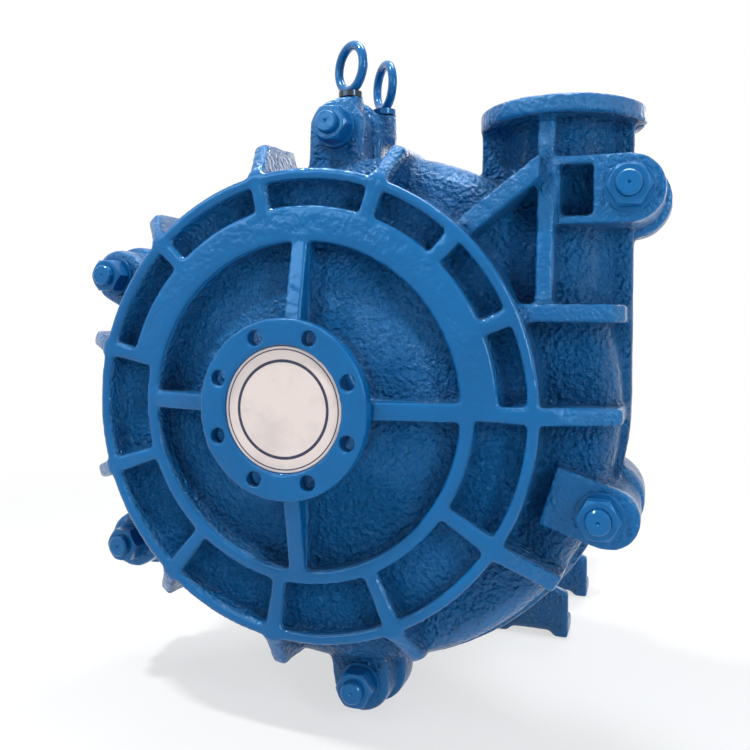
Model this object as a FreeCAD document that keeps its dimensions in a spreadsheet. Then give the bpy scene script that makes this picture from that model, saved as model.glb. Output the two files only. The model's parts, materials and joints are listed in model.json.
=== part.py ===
"""Lined horizontal slurry pump on its bearing base, as a parametric FreeCAD document.

Frame: millimetres. The shaft axis is the Y axis. The origin is the centre of the suction flange
face, +Z is up, -Y points out of the suction and +Y runs to the drive end of the shaft.
The casing is split at the plane Y = parting into a cover plate (suction side) and a frame plate
(drive side), which clamp a volute liner. The frame plate is bolted to a base that carries the
bearing housing on two rails, so that the whole bearing assembly slides along Y to set the
impeller clearance.
"""
import FreeCAD, Part
import math
import os
import Sketcher
from FreeCAD import Placement, Rotation, Vector

DRIVING = [
    # Suction flange, a 4 inch class 150 drilling
    ("flange_radius", 114.3, "suction flange outside radius"),
    ("flange_depth", 20, "suction flange thickness"),
    ("suction_pcd", 190.5, "suction bolt circle diameter"),
    ("suction_hole", 9.5, "suction bolt hole radius"),
    ("recess_radius", 79.5, "recess in the suction flange face"),
    ("recess_depth", 12.5, "depth of that recess"),
    ("neck_radius", 82, "suction neck outside radius"),
    ("throat_radius", 51, "suction passage radius"),
    ("nozzle_wall", 9, "wall of the throatbush nozzle"),
    ("joint_width", 12, "radial width of the intake joint ring"),
    ("neck_slope", 17, "length along the shaft of the slope at the foot of the neck"),
    ("neck_foot", 28, "radial reach of that slope"),
    # Cover plate front
    ("dish_depth", 35, "depth of the dish below the rim at the band"),
    ("dish_neck", 62, "Y of the dish floor next to the neck"),
    ("rim_front", 51, "Y of the front of the rim and band"),
    ("rim_radius", 308, "outside radius of the rim"),
    ("rim_width", 14, "radial width of the rim"),
    ("band_radius", 213, "inside radius of the band"),
    ("wide_band", 47, "radial width of the band on the upper side"),
    ("narrow_band", 18, "radial width of the band on the lower side"),
    ("pocket_depth", 26, "depth of the pockets between band and rim"),
    ("web_width", 20, "width of the webs between the pockets"),
    ("web_pitch_close", 23.33, "angle between webs beside the discharge"),
    ("web_pitch_open", 32.22, "angle between the other webs"),
    ("dish_rib", 23, "width of the four radial ribs in the dish"),
    ("outer_rib", 22, "width of the ribs outside the rim"),
    ("outer_rib_corner", 358, "radius of the front corner of those ribs"),
    ("outer_rib_front", 88, "Y of that corner"),
    # Casing halves
    ("parting", 190, "Y of the plane between cover plate and frame plate"),
    ("spiral_x", 7, "X of the centre of the volute's first arc"),
    ("spiral_radius", 341, "radius of the first arc of the volute"),
    ("spiral_step", 20, "growth of the volute radius per quarter turn"),
    ("spiral_drop", 5, "how far the first arc's centre lies below the shaft"),
    ("lip", 10, "width of the parting flange beyond the casing wall"),
    ("lip_depth", 18, "thickness of the parting flange"),
    ("bowl_depth", 75, "depth of each casing half at the volute"),
    ("bowl_round", 34, "rounding of the volute edge"),
    ("casing_wall", 18, "thickness of the casing wall"),
    ("side_wall", 15, "thickness of the casing wall beside the volute"),
    ("core_radius", 290, "radius of the deep middle of the casing halves"),
    ("core_step", 11, "how much deeper that middle is than the volute"),
    ("liner_gap", 0.5, "clearance round the liners"),
    ("lug_radius", 41, "radius of the cover plate lugs"),
    ("rear_lug_radius", 50, "radius of the frame plate lugs"),
    ("lug_depth", 48, "thickness of each lug"),
    ("lug_reach", 51, "distance of the casing studs beyond the volute's first arc"),
    ("lug_first", 153.4, "angle of the first lug after the top one"),
    ("lug_pitch", 62.4, "angle between the lugs that follow"),
    ("top_lug_reach", 39, "distance of the top stud beyond that arc"),
    ("top_lug_angle", 88.2, "angle of the top lug"),
    ("stud_radius", 15, "casing stud radius"),
    ("side_lug_front", 23, "rise of the cover plate's two lugs on the discharge side beyond the bowl"),
    ("side_lug_back", 7, "rise of the frame plate's lower lug on that side beyond the bowl"),
    ("side_lug_angle", 342.5, "angle of that lug"),
    ("side_lug_reach", 52, "distance of its stud beyond the volute's first arc"),
    ("side_lug_shift", 9, "how far the cover plate's lug reaches beyond the stud's circle"),
    ("side_lug_radius", 38, "radius of the cover plate's lower lug on that side"),
    ("neck_lug_inset", 3, "distance of the stud beside the discharge inside the casing's right side"),
    ("neck_lug_z", 270, "Z of the stud beside the discharge"),
    # Discharge
    ("discharge_inset", 92, "distance of the discharge axis inside the casing's right side"),
    ("discharge_top", 386, "Z of the discharge flange face"),
    ("discharge_flange", 107, "discharge flange radius"),
    ("discharge_depth", 23, "discharge flange thickness"),
    ("discharge_bore", 38, "discharge passage radius"),
    ("discharge_pcd", 168.3, "discharge bolt circle diameter"),
    ("discharge_hole", 10, "radius of the tapped discharge holes"),
    ("neck_half", 104, "reach of the neck's lip to the left of the discharge axis"),
    ("neck_pipe", 72, "outside radius of the round discharge neck"),
    ("neck_start", 60, "Z from which that neck rises out of the volute"),
    ("window_half", 30, "half height of the window in the lug beside the neck"),
    ("nozzle_radius", 56, "outside radius of the liner's discharge nozzle"),
    ("nozzle_root", 40, "height above the neck's start at which the liner's nozzle begins"),
    ("port_joint", 10, "radial width of the discharge joint ring beyond the nozzle"),
    ("port_joint_depth", 8, "thickness of that ring"),
    ("discharge_taps", 22, "depth of the tapped discharge holes"),
    # Hydraulic parts
    ("liner_wall", 22, "thickness of the volute liner"),
    ("passage_half", 47, "half width of the volute passage"),
    ("bush_radius", 216, "radius of the throatbush and back liner discs"),
    ("impeller_radius", 250, "impeller radius"),
    ("shroud", 20, "impeller shroud thickness"),
    ("impeller_half", 43, "half the overall impeller width"),
    ("eye_radius", 62, "impeller eye radius"),
    ("hub_radius", 48, "impeller hub radius inside"),
    ("boss_radius", 70, "impeller boss radius behind the back shroud"),
    ("vane", 18, "impeller vane thickness"),
    ("face_gap", 4, "axial gap between impeller and liners"),
    # Frame plate hub and stuffing box
    ("hub_step", 235, "radius of the frame plate hub"),
    ("spigot_radius", 150, "radius of the stuffing box flange"),
    ("frame_back", 335, "Y of the back of the frame plate"),
    ("back_rise", 20, "rise of the frame plate's back wall between rim and hub"),
    ("base_tap", 34, "depth of the tapped holes for the base studs"),
    ("base_pcd", 380, "circle of studs between frame plate and base"),
    ("base_stud", 10, "radius of those studs"),
    ("box_radius", 95, "stuffing box outside radius"),
    ("box_flange", 24, "thickness of the stuffing box flange"),
    ("box_space", 30, "room round the stuffing box in the frame plate and the base"),
    ("box_bore", 63, "packing chamber radius"),
    ("box_back", 398, "Y of the back of the stuffing box"),
    ("packing_width", 15.5, "width of one packing ring"),
    ("gland_flange", 112, "half length of the gland flange"),
    ("gland_stud_x", 84, "X of the gland studs"),
    ("gland_stud", 8, "radius of the gland studs"),
    ("port_radius", 7, "radius of the gland water inlet"),
    # Rotor and bearings
    ("shaft_radius", 32, "shaft radius under the sleeve"),
    ("sleeve_radius", 45, "shaft sleeve outside radius"),
    ("seat_radius", 44, "shaft radius at the bearings"),
    ("barrel_radius", 52, "shaft radius between the bearings"),
    ("drive_radius", 32.5, "radius of the drive end"),
    ("drive_length", 120, "length of the drive end"),
    ("bearing_radius", 80, "bearing outside radius"),
    ("bearing_width", 45, "bearing width"),
    ("roller_radius", 9, "bearing roller radius"),
    ("roller_circle", 62, "radius of the circle of rollers"),
    ("housing_front", 505, "Y of the front of the bearing housing"),
    ("housing_length", 300, "length of the bearing housing"),
    ("housing_radius", 108, "bearing housing radius"),
    ("housing_flange", 122, "radius of its end flanges"),
    ("cover_depth", 8, "thickness of the end covers"),
    ("rail_top", -24, "Z of the top of the base rails"),
    ("wing_reach", 158, "X to which the housing wings reach"),
    ("adjust_drop", 150, "depth of the adjusting screw below the shaft"),
    ("screw_radius", 10, "adjusting screw radius"),
    ("clamp_stud", 9, "radius of the clamp studs"),
    ("axial_travel", 3, "travel of the bearing assembly each way"),
    # Base
    ("base_bottom", 440, "depth of the base feet below the shaft"),
    ("front_foot", 525, "Y of the front of the front foot"),
    ("rear_foot", 750, "Y of the front of the rear foot"),
    ("foot_length", 67, "length of each foot along Y"),
    ("foot_height", 80, "height of the foot beams"),
    ("foot_half", 297, "half width of the front foot"),
    ("rear_foot_half", 311, "half width of the rear foot"),
    ("foot_arch", 9, "height of the arches under the feet"),
    ("foot_bolt_x", 238, "X of the foot bolts"),
    ("foot_bolt", 12, "radius of the foot bolt holes"),
    ("wall_inner", 128, "X of the inside of the base side walls"),
    ("wall", 20, "thickness of the base walls"),
    ("front_plate", 25, "thickness of the base front plate"),
    # General
    ("clearance", 0.3, "gap beside parts of another moving body"),
    ("fit_gap", 0.15, "gap between parts that stay together"),
    ("eye_ring", 31, "mean radius of an eyebolt ring"),
    ("eye_wire", 6.5, "half thickness of an eyebolt ring"),
    ("eye_collar", 17, "radius of an eyebolt's collar"),
    ("eye_collar_depth", 8, "thickness of that collar"),
    ("boss_height", 45, "height of the boss under an eyebolt"),
]

doc = FreeCAD.newDocument("slurry_pump")
sheet = doc.addObject("Spreadsheet::Sheet", "sizes")
for row, (alias, number, note) in enumerate(DRIVING, 1):
    sheet.set("A%d" % row, alias)
    sheet.set("B%d" % row, str(number))
    sheet.setAlias("B%d" % row, alias)
    sheet.set("C%d" % row, note)
doc.recompute()


class Size:
    """A number together with the sheet expression that it comes from."""

    def __init__(self, value, text):
        self.value = value
        self.text = text

    def __add__(self, other):
        other = size(other)
        return Size(self.value + other.value, "(%s + %s)" % (self.text, other.text))

    def __sub__(self, other):
        other = size(other)
        return Size(self.value - other.value, "(%s - %s)" % (self.text, other.text))

    def __mul__(self, other):
        other = size(other)
        return Size(self.value * other.value, "(%s * %s)" % (self.text, other.text))

    def __truediv__(self, other):
        other = size(other)
        return Size(self.value / other.value, "(%s / %s)" % (self.text, other.text))

    def __neg__(self):
        return self * -1

    __radd__ = __add__

    def __rmul__(self, other):
        return self * other

    def __rsub__(self, other):
        return size(other) - self


def size(number):
    """Any plain number as a Size."""
    if isinstance(number, Size):
        return number
    return Size(float(number), "(%.9g)" % number)


def cell(alias):
    """The Size held in one cell of the sheet."""
    return Size(float(sheet.get(alias)), "sizes.%s" % alias)


def cosine(angle):
    angle = size(angle)
    return Size(math.cos(math.radians(angle.value)), "cos(%s * 1 deg)" % angle.text)


def sine(angle):
    angle = size(angle)
    return Size(math.sin(math.radians(angle.value)), "sin(%s * 1 deg)" % angle.text)


def root(number):
    return Size(math.sqrt(number.value), "sqrt(%s)" % number.text)


def bind(thing, name, amount):
    """Set a property of an object from a Size, through an expression."""
    thing.setExpression(name, size(amount).text)


# ---------------------------------------------------------------------------------------------
# Sketches
# ---------------------------------------------------------------------------------------------
def new_body(label):
    body = doc.addObject("PartDesign::Body", label)
    body.Label = label
    return body


def new_sketch(body, name, plane, offset=0, turn_axis=None, turn=0):
    """A sketch on one of the body's own origin planes, moved along its normal and turned."""
    sketch = body.newObject("Sketcher::SketchObject", name)
    for feature in body.Origin.OriginFeatures:
        if feature.Role == plane:
            sketch.AttachmentSupport = [(feature, "")]
    sketch.MapMode = "FlatFace"
    if turn_axis is not None:
        sketch.AttachmentOffset = Placement(Vector(0, 0, 0), Rotation(turn_axis, size(turn).value))
        bind(sketch, "AttachmentOffset.Rotation.Angle", size(turn))
    bind(sketch, "AttachmentOffset.Base.z", offset)
    return sketch


def pin_point(sketch, geometry, end, x, y):
    """Fix a point of a sketch, leaving out a coordinate given as None."""
    if x is not None:
        index = sketch.addConstraint(Sketcher.Constraint("DistanceX", -1, 1, geometry, end, x.value))
        bind(sketch, "Constraints[%d]" % index, x)
    if y is not None:
        index = sketch.addConstraint(Sketcher.Constraint("DistanceY", -1, 1, geometry, end, y.value))
        bind(sketch, "Constraints[%d]" % index, y)


def join(sketch, first, second):
    """The end of one edge meets the start of the next."""
    sketch.addConstraint(Sketcher.Constraint("Coincident", first, 2, second, 1))


def polygon(sketch, corners):
    """A closed outline of straight runs through the given corners."""
    corners = [(size(x), size(y)) for x, y in corners]
    count = len(corners)
    edges = []
    for index in range(count):
        x0, y0 = corners[index]
        x1, y1 = corners[(index + 1) % count]
        start = Vector(x0.value, y0.value, 0)
        finish = Vector(x1.value, y1.value, 0)
        edges.append(sketch.addGeometry(Part.LineSegment(start, finish), False))
    for index in range(count):
        join(sketch, edges[index], edges[(index + 1) % count])
        pin_point(sketch, edges[index], 1, corners[index][0], corners[index][1])


def circle(sketch, x, y, radius):
    x, y, radius = size(x), size(y), size(radius)
    shape = Part.Circle(Vector(x.value, y.value, 0), Vector(0, 0, 1), radius.value)
    index = sketch.addGeometry(shape, False)
    pin_point(sketch, index, 3, x, y)
    constraint = sketch.addConstraint(Sketcher.Constraint("Radius", index, radius.value))
    bind(sketch, "Constraints[%d]" % constraint, radius)


def arc_edge(sketch, x, y, radius, start, finish):
    """An arc edge, counter-clockwise between two angles in degrees, with nothing fixed yet."""
    shape = Part.Circle(Vector(x, y, 0), Vector(0, 0, 1), radius)
    arc = Part.ArcOfCircle(shape, math.radians(start), math.radians(finish))
    return sketch.addGeometry(arc, False)


def fix_radius(sketch, edge, radius):
    index = sketch.addConstraint(Sketcher.Constraint("Radius", edge, radius.value))
    bind(sketch, "Constraints[%d]" % index, radius)


def pin_end(sketch, edge, end, radius, angle):
    """Fix where an arc about the origin ends, by its better placed coordinate."""
    across = radius * cosine(angle)
    upward = radius * sine(angle)
    if abs(across.value) < abs(upward.value):
        pin_point(sketch, edge, end, across, None)
    else:
        pin_point(sketch, edge, end, None, upward)


def sector(sketch, inner, outer, start, finish):
    """A closed ring sector about the origin."""
    outside = arc_edge(sketch, 0, 0, outer.value, start.value, finish.value)
    inside = arc_edge(sketch, 0, 0, inner.value, start.value, finish.value)
    for edge, radius in ((outside, outer), (inside, inner)):
        sketch.addConstraint(Sketcher.Constraint("Coincident", edge, 3, -1, 1))
        fix_radius(sketch, edge, radius)
        pin_end(sketch, edge, 1, radius, start)
        pin_end(sketch, edge, 2, radius, finish)
    for end, angle in ((1, start), (2, finish)):
        direction = Vector(math.cos(math.radians(angle.value)), math.sin(math.radians(angle.value)), 0)
        side = Part.LineSegment(direction * inner.value, direction * outer.value)
        edge = sketch.addGeometry(side, False)
        sketch.addConstraint(Sketcher.Constraint("Coincident", inside, end, edge, 1))
        sketch.addConstraint(Sketcher.Constraint("Coincident", outside, end, edge, 2))


def tab(sketch, reach, radius, start):
    """A round-ended tab along the sketch's x axis."""
    reach, radius, start = size(reach), size(radius), size(start)
    top = sketch.addGeometry(Part.LineSegment(Vector(reach.value, radius.value, 0),
                                              Vector(start.value, radius.value, 0)), False)
    back = sketch.addGeometry(Part.LineSegment(Vector(start.value, radius.value, 0),
                                               Vector(start.value, -radius.value, 0)), False)
    foot = sketch.addGeometry(Part.LineSegment(Vector(start.value, -radius.value, 0),
                                               Vector(reach.value, -radius.value, 0)), False)
    nose = arc_edge(sketch, reach.value, 0, radius.value, -90, 90)
    join(sketch, top, back)
    join(sketch, back, foot)
    join(sketch, foot, nose)
    join(sketch, nose, top)
    pin_point(sketch, top, 1, reach, radius)
    pin_point(sketch, back, 1, start, radius)
    pin_point(sketch, foot, 1, start, -radius)
    pin_point(sketch, nose, 1, reach, -radius)
    pin_point(sketch, nose, 3, reach, None)


# ---------------------------------------------------------------------------------------------
# Features
# ---------------------------------------------------------------------------------------------
def pad(body, sketch, length, reverse=False, both=False):
    feature = body.newObject("PartDesign::Pad", sketch.Name + "_pad")
    feature.Profile = sketch
    feature.Reversed = reverse
    feature.Midplane = both
    bind(feature, "Length", length)
    sketch.Visibility = False
    return feature


def pocket(body, sketch, length, reverse=False, both=False):
    feature = body.newObject("PartDesign::Pocket", sketch.Name + "_cut")
    feature.Profile = sketch
    feature.Reversed = reverse
    feature.Midplane = both
    bind(feature, "Length", length)
    return feature


def revolve(body, sketch, kind="Revolution"):
    feature = body.newObject("PartDesign::" + kind, sketch.Name + "_turn")
    feature.Profile = sketch
    feature.ReferenceAxis = (sketch, ["H_Axis"])
    feature.Angle = 360
    return feature


def origin_axis(body, role):
    for feature in body.Origin.OriginFeatures:
        if feature.Role == role:
            return (feature, [""])


def around(body, feature, count, sweep=360, reverse=False):
    """Repeat a feature about the shaft axis."""
    pattern = body.newObject("PartDesign::PolarPattern", feature.Name + "_ring")
    pattern.Originals = [feature]
    pattern.Axis = origin_axis(body, "Y_Axis")
    pattern.Angle = sweep
    pattern.Occurrences = count
    pattern.Reversed = reverse
    body.Tip = pattern
    return pattern


def mirrored(body, feature, plane="YZ_Plane"):
    pattern = body.newObject("PartDesign::Mirrored", feature.Name + "_mirror")
    pattern.Originals = [feature]
    pattern.MirrorPlane = origin_axis(body, plane)
    body.Tip = pattern
    return pattern


def turned(label, profile):
    """A body turned about the shaft axis from a closed profile of (Y, radius) corners."""
    body = new_body(label)
    sketch = new_sketch(body, label + "_profile", "YZ_Plane")
    polygon(sketch, profile)
    revolve(body, sketch)
    return body


def ring(label, front, back, inner, outer):
    return turned(label, [(front, inner), (front, outer), (back, outer), (back, inner)])


def drill_circle(body, name, front, depth, radius, hole, count, first):
    """Holes on a circle about the shaft, drilled along +Y from the plane Y = front."""
    sketch = new_sketch(body, name, "XZ_Plane", -size(front))
    circle(sketch, radius * cosine(first), radius * sine(first), hole)
    around(body, pocket(body, sketch, depth), count)


def cylinder(name, x, y, z, radius, length, axis="y"):
    """A plain cylinder that starts at a point and runs along +Y, +Z or +X."""
    thing = doc.addObject("Part::Cylinder", name)
    bind(thing, "Radius", radius)
    bind(thing, "Height", length)
    turn = {"y": Rotation(Vector(1, 0, 0), -90), "z": Rotation(), "x": Rotation(Vector(0, 1, 0), 90)}
    thing.Placement = Placement(Vector(0, 0, 0), turn[axis])
    set_base(thing, x, y, z)
    return thing


def hexagon(name, x, y, z, across, length, axis="y"):
    """A six sided prism by its width across flats."""
    thing = doc.addObject("Part::Prism", name)
    thing.Polygon = 6
    bind(thing, "Circumradius", size(across) / (2 * math.cos(math.pi / 6)))
    bind(thing, "Height", length)
    turn = {"y": Rotation(Vector(1, 0, 0), -90), "z": Rotation()}
    thing.Placement = Placement(Vector(0, 0, 0), turn[axis])
    set_base(thing, x, y, z)
    return thing


def box(name, x, y, z, width, depth, height):
    thing = doc.addObject("Part::Box", name)
    for side, amount in (("Length", width), ("Width", depth), ("Height", height)):
        bind(thing, side, amount)
    set_base(thing, x, y, z)
    return thing


def set_base(thing, x, y, z):
    for letter, amount in (("x", x), ("y", y), ("z", z)):
        bind(thing, "Placement.Base.%s" % letter, amount)


def cut(name, base, tool):
    thing = doc.addObject("Part::Cut", name)
    thing.Base = base
    thing.Tool = tool
    return thing


def fuse(name, parts):
    thing = doc.addObject("Part::MultiFuse", name)
    thing.Shapes = parts
    return thing


def group(label, parts):
    """Several loose solids of one kind kept as one node."""
    thing = doc.addObject("Part::Compound", label)
    thing.Label = label
    thing.Links = parts
    return thing


nodes = []


def keep(thing):
    """List a finished sub-part for writing."""
    nodes.append(thing)
    return thing


# ---------------------------------------------------------------------------------------------
# Places shared by several pieces
# ---------------------------------------------------------------------------------------------
PARTING = cell("parting")
FIT = cell("fit_gap")
CLEAR = cell("clearance")
STEP = cell("spiral_step")
SPIRAL = cell("spiral_radius")
ARC_X = cell("spiral_x")
CASING_SIDE = ARC_X + SPIRAL + STEP * 3
ARC_Z = -cell("spiral_drop")
DISCHARGE_X = CASING_SIDE - cell("discharge_inset")
DISCHARGE_TOP = cell("discharge_top")
NOZZLE_START = cell("neck_start") + cell("nozzle_root")
LINER_INSET = cell("lip") + cell("casing_wall")
LINER_HALF = cell("bowl_depth") - cell("side_wall")
CORE = cell("bowl_depth") + cell("core_step")
BUSH_HALF = CORE - cell("liner_gap")
NOZZLE = cell("throat_radius") + cell("nozzle_wall")
JOINT_RADIUS = NOZZLE + cell("joint_width")
RIM_FRONT = cell("rim_front")
BACK_WALL = PARTING + CORE
BOX_FLANGE_END = BACK_WALL + cell("box_flange")
BOX_ROOM = cell("box_radius") + cell("box_space")
HUB_RADIUS = cell("hub_step")
BASE_FACE = cell("frame_back")
PLATE_BACK = BASE_FACE + cell("front_plate")
WEB_CLOSE = cell("web_pitch_close")
WEB_OPEN = cell("web_pitch_open")

# The webs between rim and band: close together beside the discharge, wider all the way round.
WEB_ANGLES = [WEB_CLOSE * index for index in range(4)]
WEB_ANGLES += [WEB_CLOSE * 3 + WEB_OPEN * index for index in range(1, 9)]
WIDE_BAND_POCKETS = 6

# The lugs about the shaft as (angle, radius), and all the studs as (x, z, front reach, back reach).
LUG_DEPTH = cell("lug_depth")
SIDE_FRONT = cell("bowl_depth") + cell("side_lug_front")
SIDE_BACK = cell("bowl_depth") + cell("side_lug_back")
SIDE_LUG = (cell("side_lug_angle"), SPIRAL + cell("side_lug_reach"))
NECK_LUG = (CASING_SIDE - cell("neck_lug_inset"), cell("neck_lug_z"))
LUGS = [(cell("top_lug_angle"), SPIRAL + cell("top_lug_reach"))]
LUGS += [(cell("lug_first") + cell("lug_pitch") * index, SPIRAL + cell("lug_reach")) for index in range(3)]
STUDS = [(radius * cosine(angle), radius * sine(angle), LUG_DEPTH, LUG_DEPTH) for angle, radius in LUGS]
STUDS.append((SIDE_LUG[1] * cosine(SIDE_LUG[0]), SIDE_LUG[1] * sine(SIDE_LUG[0]), SIDE_FRONT, SIDE_BACK))
STUDS.append((NECK_LUG[0], NECK_LUG[1], SIDE_FRONT, LUG_DEPTH))


def casing_outline(sketch, inset, top):
    """The volute's outer line with its tangent neck, drawn in by an inset and closed at a height."""
    inset, top = size(inset), size(top)
    first = SPIRAL - inset
    second = first + STEP
    third = second + STEP
    right = CASING_SIDE - inset
    left = DISCHARGE_X - cell("neck_half") + inset
    meet = ARC_Z + root(first * first - (left - ARC_X) * (left - ARC_X))
    meet_angle = math.degrees(math.atan2(meet.value - ARC_Z.value, left.value - ARC_X.value))
    low = (ARC_X + STEP, ARC_Z + STEP)
    flank = sketch.addGeometry(Part.LineSegment(Vector(right.value, low[1].value, 0),
                                                Vector(right.value, top.value, 0)), False)
    cap = sketch.addGeometry(Part.LineSegment(Vector(right.value, top.value, 0),
                                              Vector(left.value, top.value, 0)), False)
    inner = sketch.addGeometry(Part.LineSegment(Vector(left.value, top.value, 0),
                                                Vector(left.value, meet.value, 0)), False)
    upper = arc_edge(sketch, ARC_X.value, ARC_Z.value, first.value, meet_angle, 180)
    lower = arc_edge(sketch, low[0].value, ARC_Z.value, second.value, 180, 270)
    outer = arc_edge(sketch, low[0].value, low[1].value, third.value, 270, 360)
    edges = [flank, cap, inner, upper, lower, outer]
    for index in range(6):
        join(sketch, edges[index], edges[(index + 1) % 6])
    pin_point(sketch, cap, 1, right, top)
    pin_point(sketch, inner, 1, left, top)
    pin_point(sketch, upper, 3, ARC_X, ARC_Z)
    fix_radius(sketch, upper, first)
    pin_point(sketch, upper, 1, left, None)
    pin_point(sketch, upper, 2, None, ARC_Z)
    pin_point(sketch, lower, 3, low[0], ARC_Z)
    pin_point(sketch, lower, 2, low[0], None)
    pin_point(sketch, outer, 3, low[0], low[1])
    pin_point(sketch, outer, 2, None, low[1])


def passage_outline(sketch, inset):
    """The spiral of the volute passage, closed over the tongue by a fourth arc."""
    first = SPIRAL - inset
    second = first + STEP
    third = second + STEP
    low = (ARC_X + STEP, ARC_Z + STEP)
    right = low[0] + third
    rise = ARC_Z + first - low[1]
    last_x = (right * right - ARC_X * ARC_X - rise * rise) / ((right - ARC_X) * 2)
    last_radius = right - last_x
    top_angle = math.degrees(math.atan2(rise.value, ARC_X.value - last_x.value))
    upper = arc_edge(sketch, ARC_X.value, ARC_Z.value, first.value, 90, 180)
    lower = arc_edge(sketch, low[0].value, ARC_Z.value, second.value, 180, 270)
    outer = arc_edge(sketch, low[0].value, low[1].value, third.value, 270, 360)
    close = arc_edge(sketch, last_x.value, low[1].value, last_radius.value, 0, top_angle)
    edges = [upper, lower, outer, close]
    for index in range(4):
        join(sketch, edges[index], edges[(index + 1) % 4])
    pin_point(sketch, upper, 3, ARC_X, ARC_Z)
    fix_radius(sketch, upper, first)
    pin_point(sketch, upper, 1, ARC_X, None)
    pin_point(sketch, upper, 2, None, ARC_Z)
    pin_point(sketch, lower, 3, low[0], ARC_Z)
    pin_point(sketch, lower, 2, low[0], None)
    pin_point(sketch, outer, 3, low[0], low[1])
    pin_point(sketch, outer, 2, None, low[1])
    pin_point(sketch, close, 3, None, low[1])


def half_disc(sketch, radius, front):
    """Half a disc about the discharge axis, on one side of the parting plane."""
    start = 180 if front else 0
    ends = (1, 2) if front else (2, 1)
    rim = arc_edge(sketch, DISCHARGE_X.value, PARTING.value, radius.value, start, start + 180)
    left = Vector(DISCHARGE_X.value - radius.value, PARTING.value, 0)
    right = Vector(DISCHARGE_X.value + radius.value, PARTING.value, 0)
    chord = sketch.addGeometry(Part.LineSegment(left, right), False)
    sketch.addConstraint(Sketcher.Constraint("Coincident", chord, 1, rim, ends[0]))
    sketch.addConstraint(Sketcher.Constraint("Coincident", chord, 2, rim, ends[1]))
    pin_point(sketch, rim, 3, DISCHARGE_X, PARTING)
    fix_radius(sketch, rim, radius)
    pin_point(sketch, rim, 1, None, PARTING)
    pin_point(sketch, rim, 2, None, PARTING)


def front_edges(feature, y):
    """The names of the edges of a feature that lie in the plane Y = y."""
    names = []
    for index, edge in enumerate(feature.Shape.Edges, 1):
        limits = edge.BoundBox
        if abs(limits.YMin - y) < 0.001 and abs(limits.YMax - y) < 0.001:
            names.append("Edge%d" % index)
    return names


def casing_half(label, side, lug_radius, profile):
    """One half of the casing. side is -1 for the suction half and 1 for the drive half."""
    away = side > 0
    body = new_body(label)
    neck_top = DISCHARGE_TOP - cell("discharge_depth") / 2
    side_depth = SIDE_BACK if away else SIDE_FRONT
    neck_depth = LUG_DEPTH if away else SIDE_FRONT
    side_reach = SIDE_LUG[1] if away else SIDE_LUG[1] + cell("side_lug_shift")
    side_radius = lug_radius if away else cell("side_lug_radius")

    lip = new_sketch(body, label + "_lip", "XZ_Plane", -PARTING)
    casing_outline(lip, 0, neck_top)
    pad(body, lip, cell("lip_depth"), reverse=away)
    bowl = new_sketch(body, label + "_bowl", "XZ_Plane", -PARTING)
    passage_outline(bowl, cell("lip"))
    bowl_pad = pad(body, bowl, cell("bowl_depth"), reverse=away)
    doc.recompute()
    rounding = body.newObject("PartDesign::Fillet", label + "_rounding")
    face = PARTING + cell("bowl_depth") * side
    rounding.Base = (bowl_pad, front_edges(bowl_pad, face.value))
    bind(rounding, "Radius", cell("bowl_round"))

    middle = new_sketch(body, label + "_middle", "YZ_Plane")
    polygon(middle, profile)
    revolve(body, middle)

    for index, (angle, radius) in enumerate(LUGS):
        lug = new_sketch(body, "%s_lug_%d" % (label, index), "XZ_Plane", -PARTING, Vector(0, 0, 1), angle)
        tab(lug, radius, lug_radius, cell("core_radius") + 10)
        pad(body, lug, LUG_DEPTH, reverse=away)
    side_lug = new_sketch(body, label + "_side_lug", "XZ_Plane", -PARTING, Vector(0, 0, 1), SIDE_LUG[0])
    tab(side_lug, side_reach, side_radius, cell("rim_radius") + 20)
    pad(body, side_lug, side_depth, reverse=away)
    neck_lug = new_sketch(body, label + "_neck_lug", "XZ_Plane", -PARTING)
    neck_lug_outline(neck_lug, lug_radius)
    pad(body, neck_lug, neck_depth, reverse=away)
    if not away:
        lug_window(body)

    neck = new_sketch(body, label + "_neck", "XY_Plane", cell("neck_start"))
    half_disc(neck, cell("neck_pipe"), not away)
    pad(body, neck, neck_top - cell("neck_start"))
    flange = new_sketch(body, label + "_flange", "XY_Plane", DISCHARGE_TOP - cell("discharge_depth"))
    half_disc(flange, cell("discharge_flange"), not away)
    pad(body, flange, cell("discharge_depth"))
    return body


def lug_window(body):
    """The opening in the lug beside the discharge, through which the round neck shows."""
    window = new_sketch(body, "lug_window", "XZ_Plane", -(PARTING - SIDE_FRONT))
    left = DISCHARGE_X + 9
    right = NECK_LUG[0] - 42
    half = cell("window_half")
    polygon(window, [(left, NECK_LUG[1] - half), (right, NECK_LUG[1] - half),
                     (right, NECK_LUG[1] + half), (left, NECK_LUG[1] + half)])
    pocket(body, window, SIDE_FRONT - cell("lip_depth"))


def neck_lug_outline(sketch, radius):
    """The tab that carries the stud beside the discharge."""
    radius = size(radius)
    across, upward = NECK_LUG
    start = DISCHARGE_X
    top = sketch.addGeometry(Part.LineSegment(Vector(across.value, upward.value + radius.value, 0),
                                              Vector(start.value, upward.value + radius.value, 0)), False)
    back = sketch.addGeometry(Part.LineSegment(Vector(start.value, upward.value + radius.value, 0),
                                               Vector(start.value, upward.value - radius.value, 0)), False)
    foot = sketch.addGeometry(Part.LineSegment(Vector(start.value, upward.value - radius.value, 0),
                                               Vector(across.value, upward.value - radius.value, 0)), False)
    nose = arc_edge(sketch, across.value, upward.value, radius.value, -90, 90)
    edges = [top, back, foot, nose]
    for index in range(4):
        join(sketch, edges[index], edges[(index + 1) % 4])
    pin_point(sketch, top, 1, across, upward + radius)
    pin_point(sketch, back, 1, start, upward + radius)
    pin_point(sketch, foot, 1, start, upward - radius)
    pin_point(sketch, nose, 1, across, upward - radius)
    pin_point(sketch, nose, 3, across, None)


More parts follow.
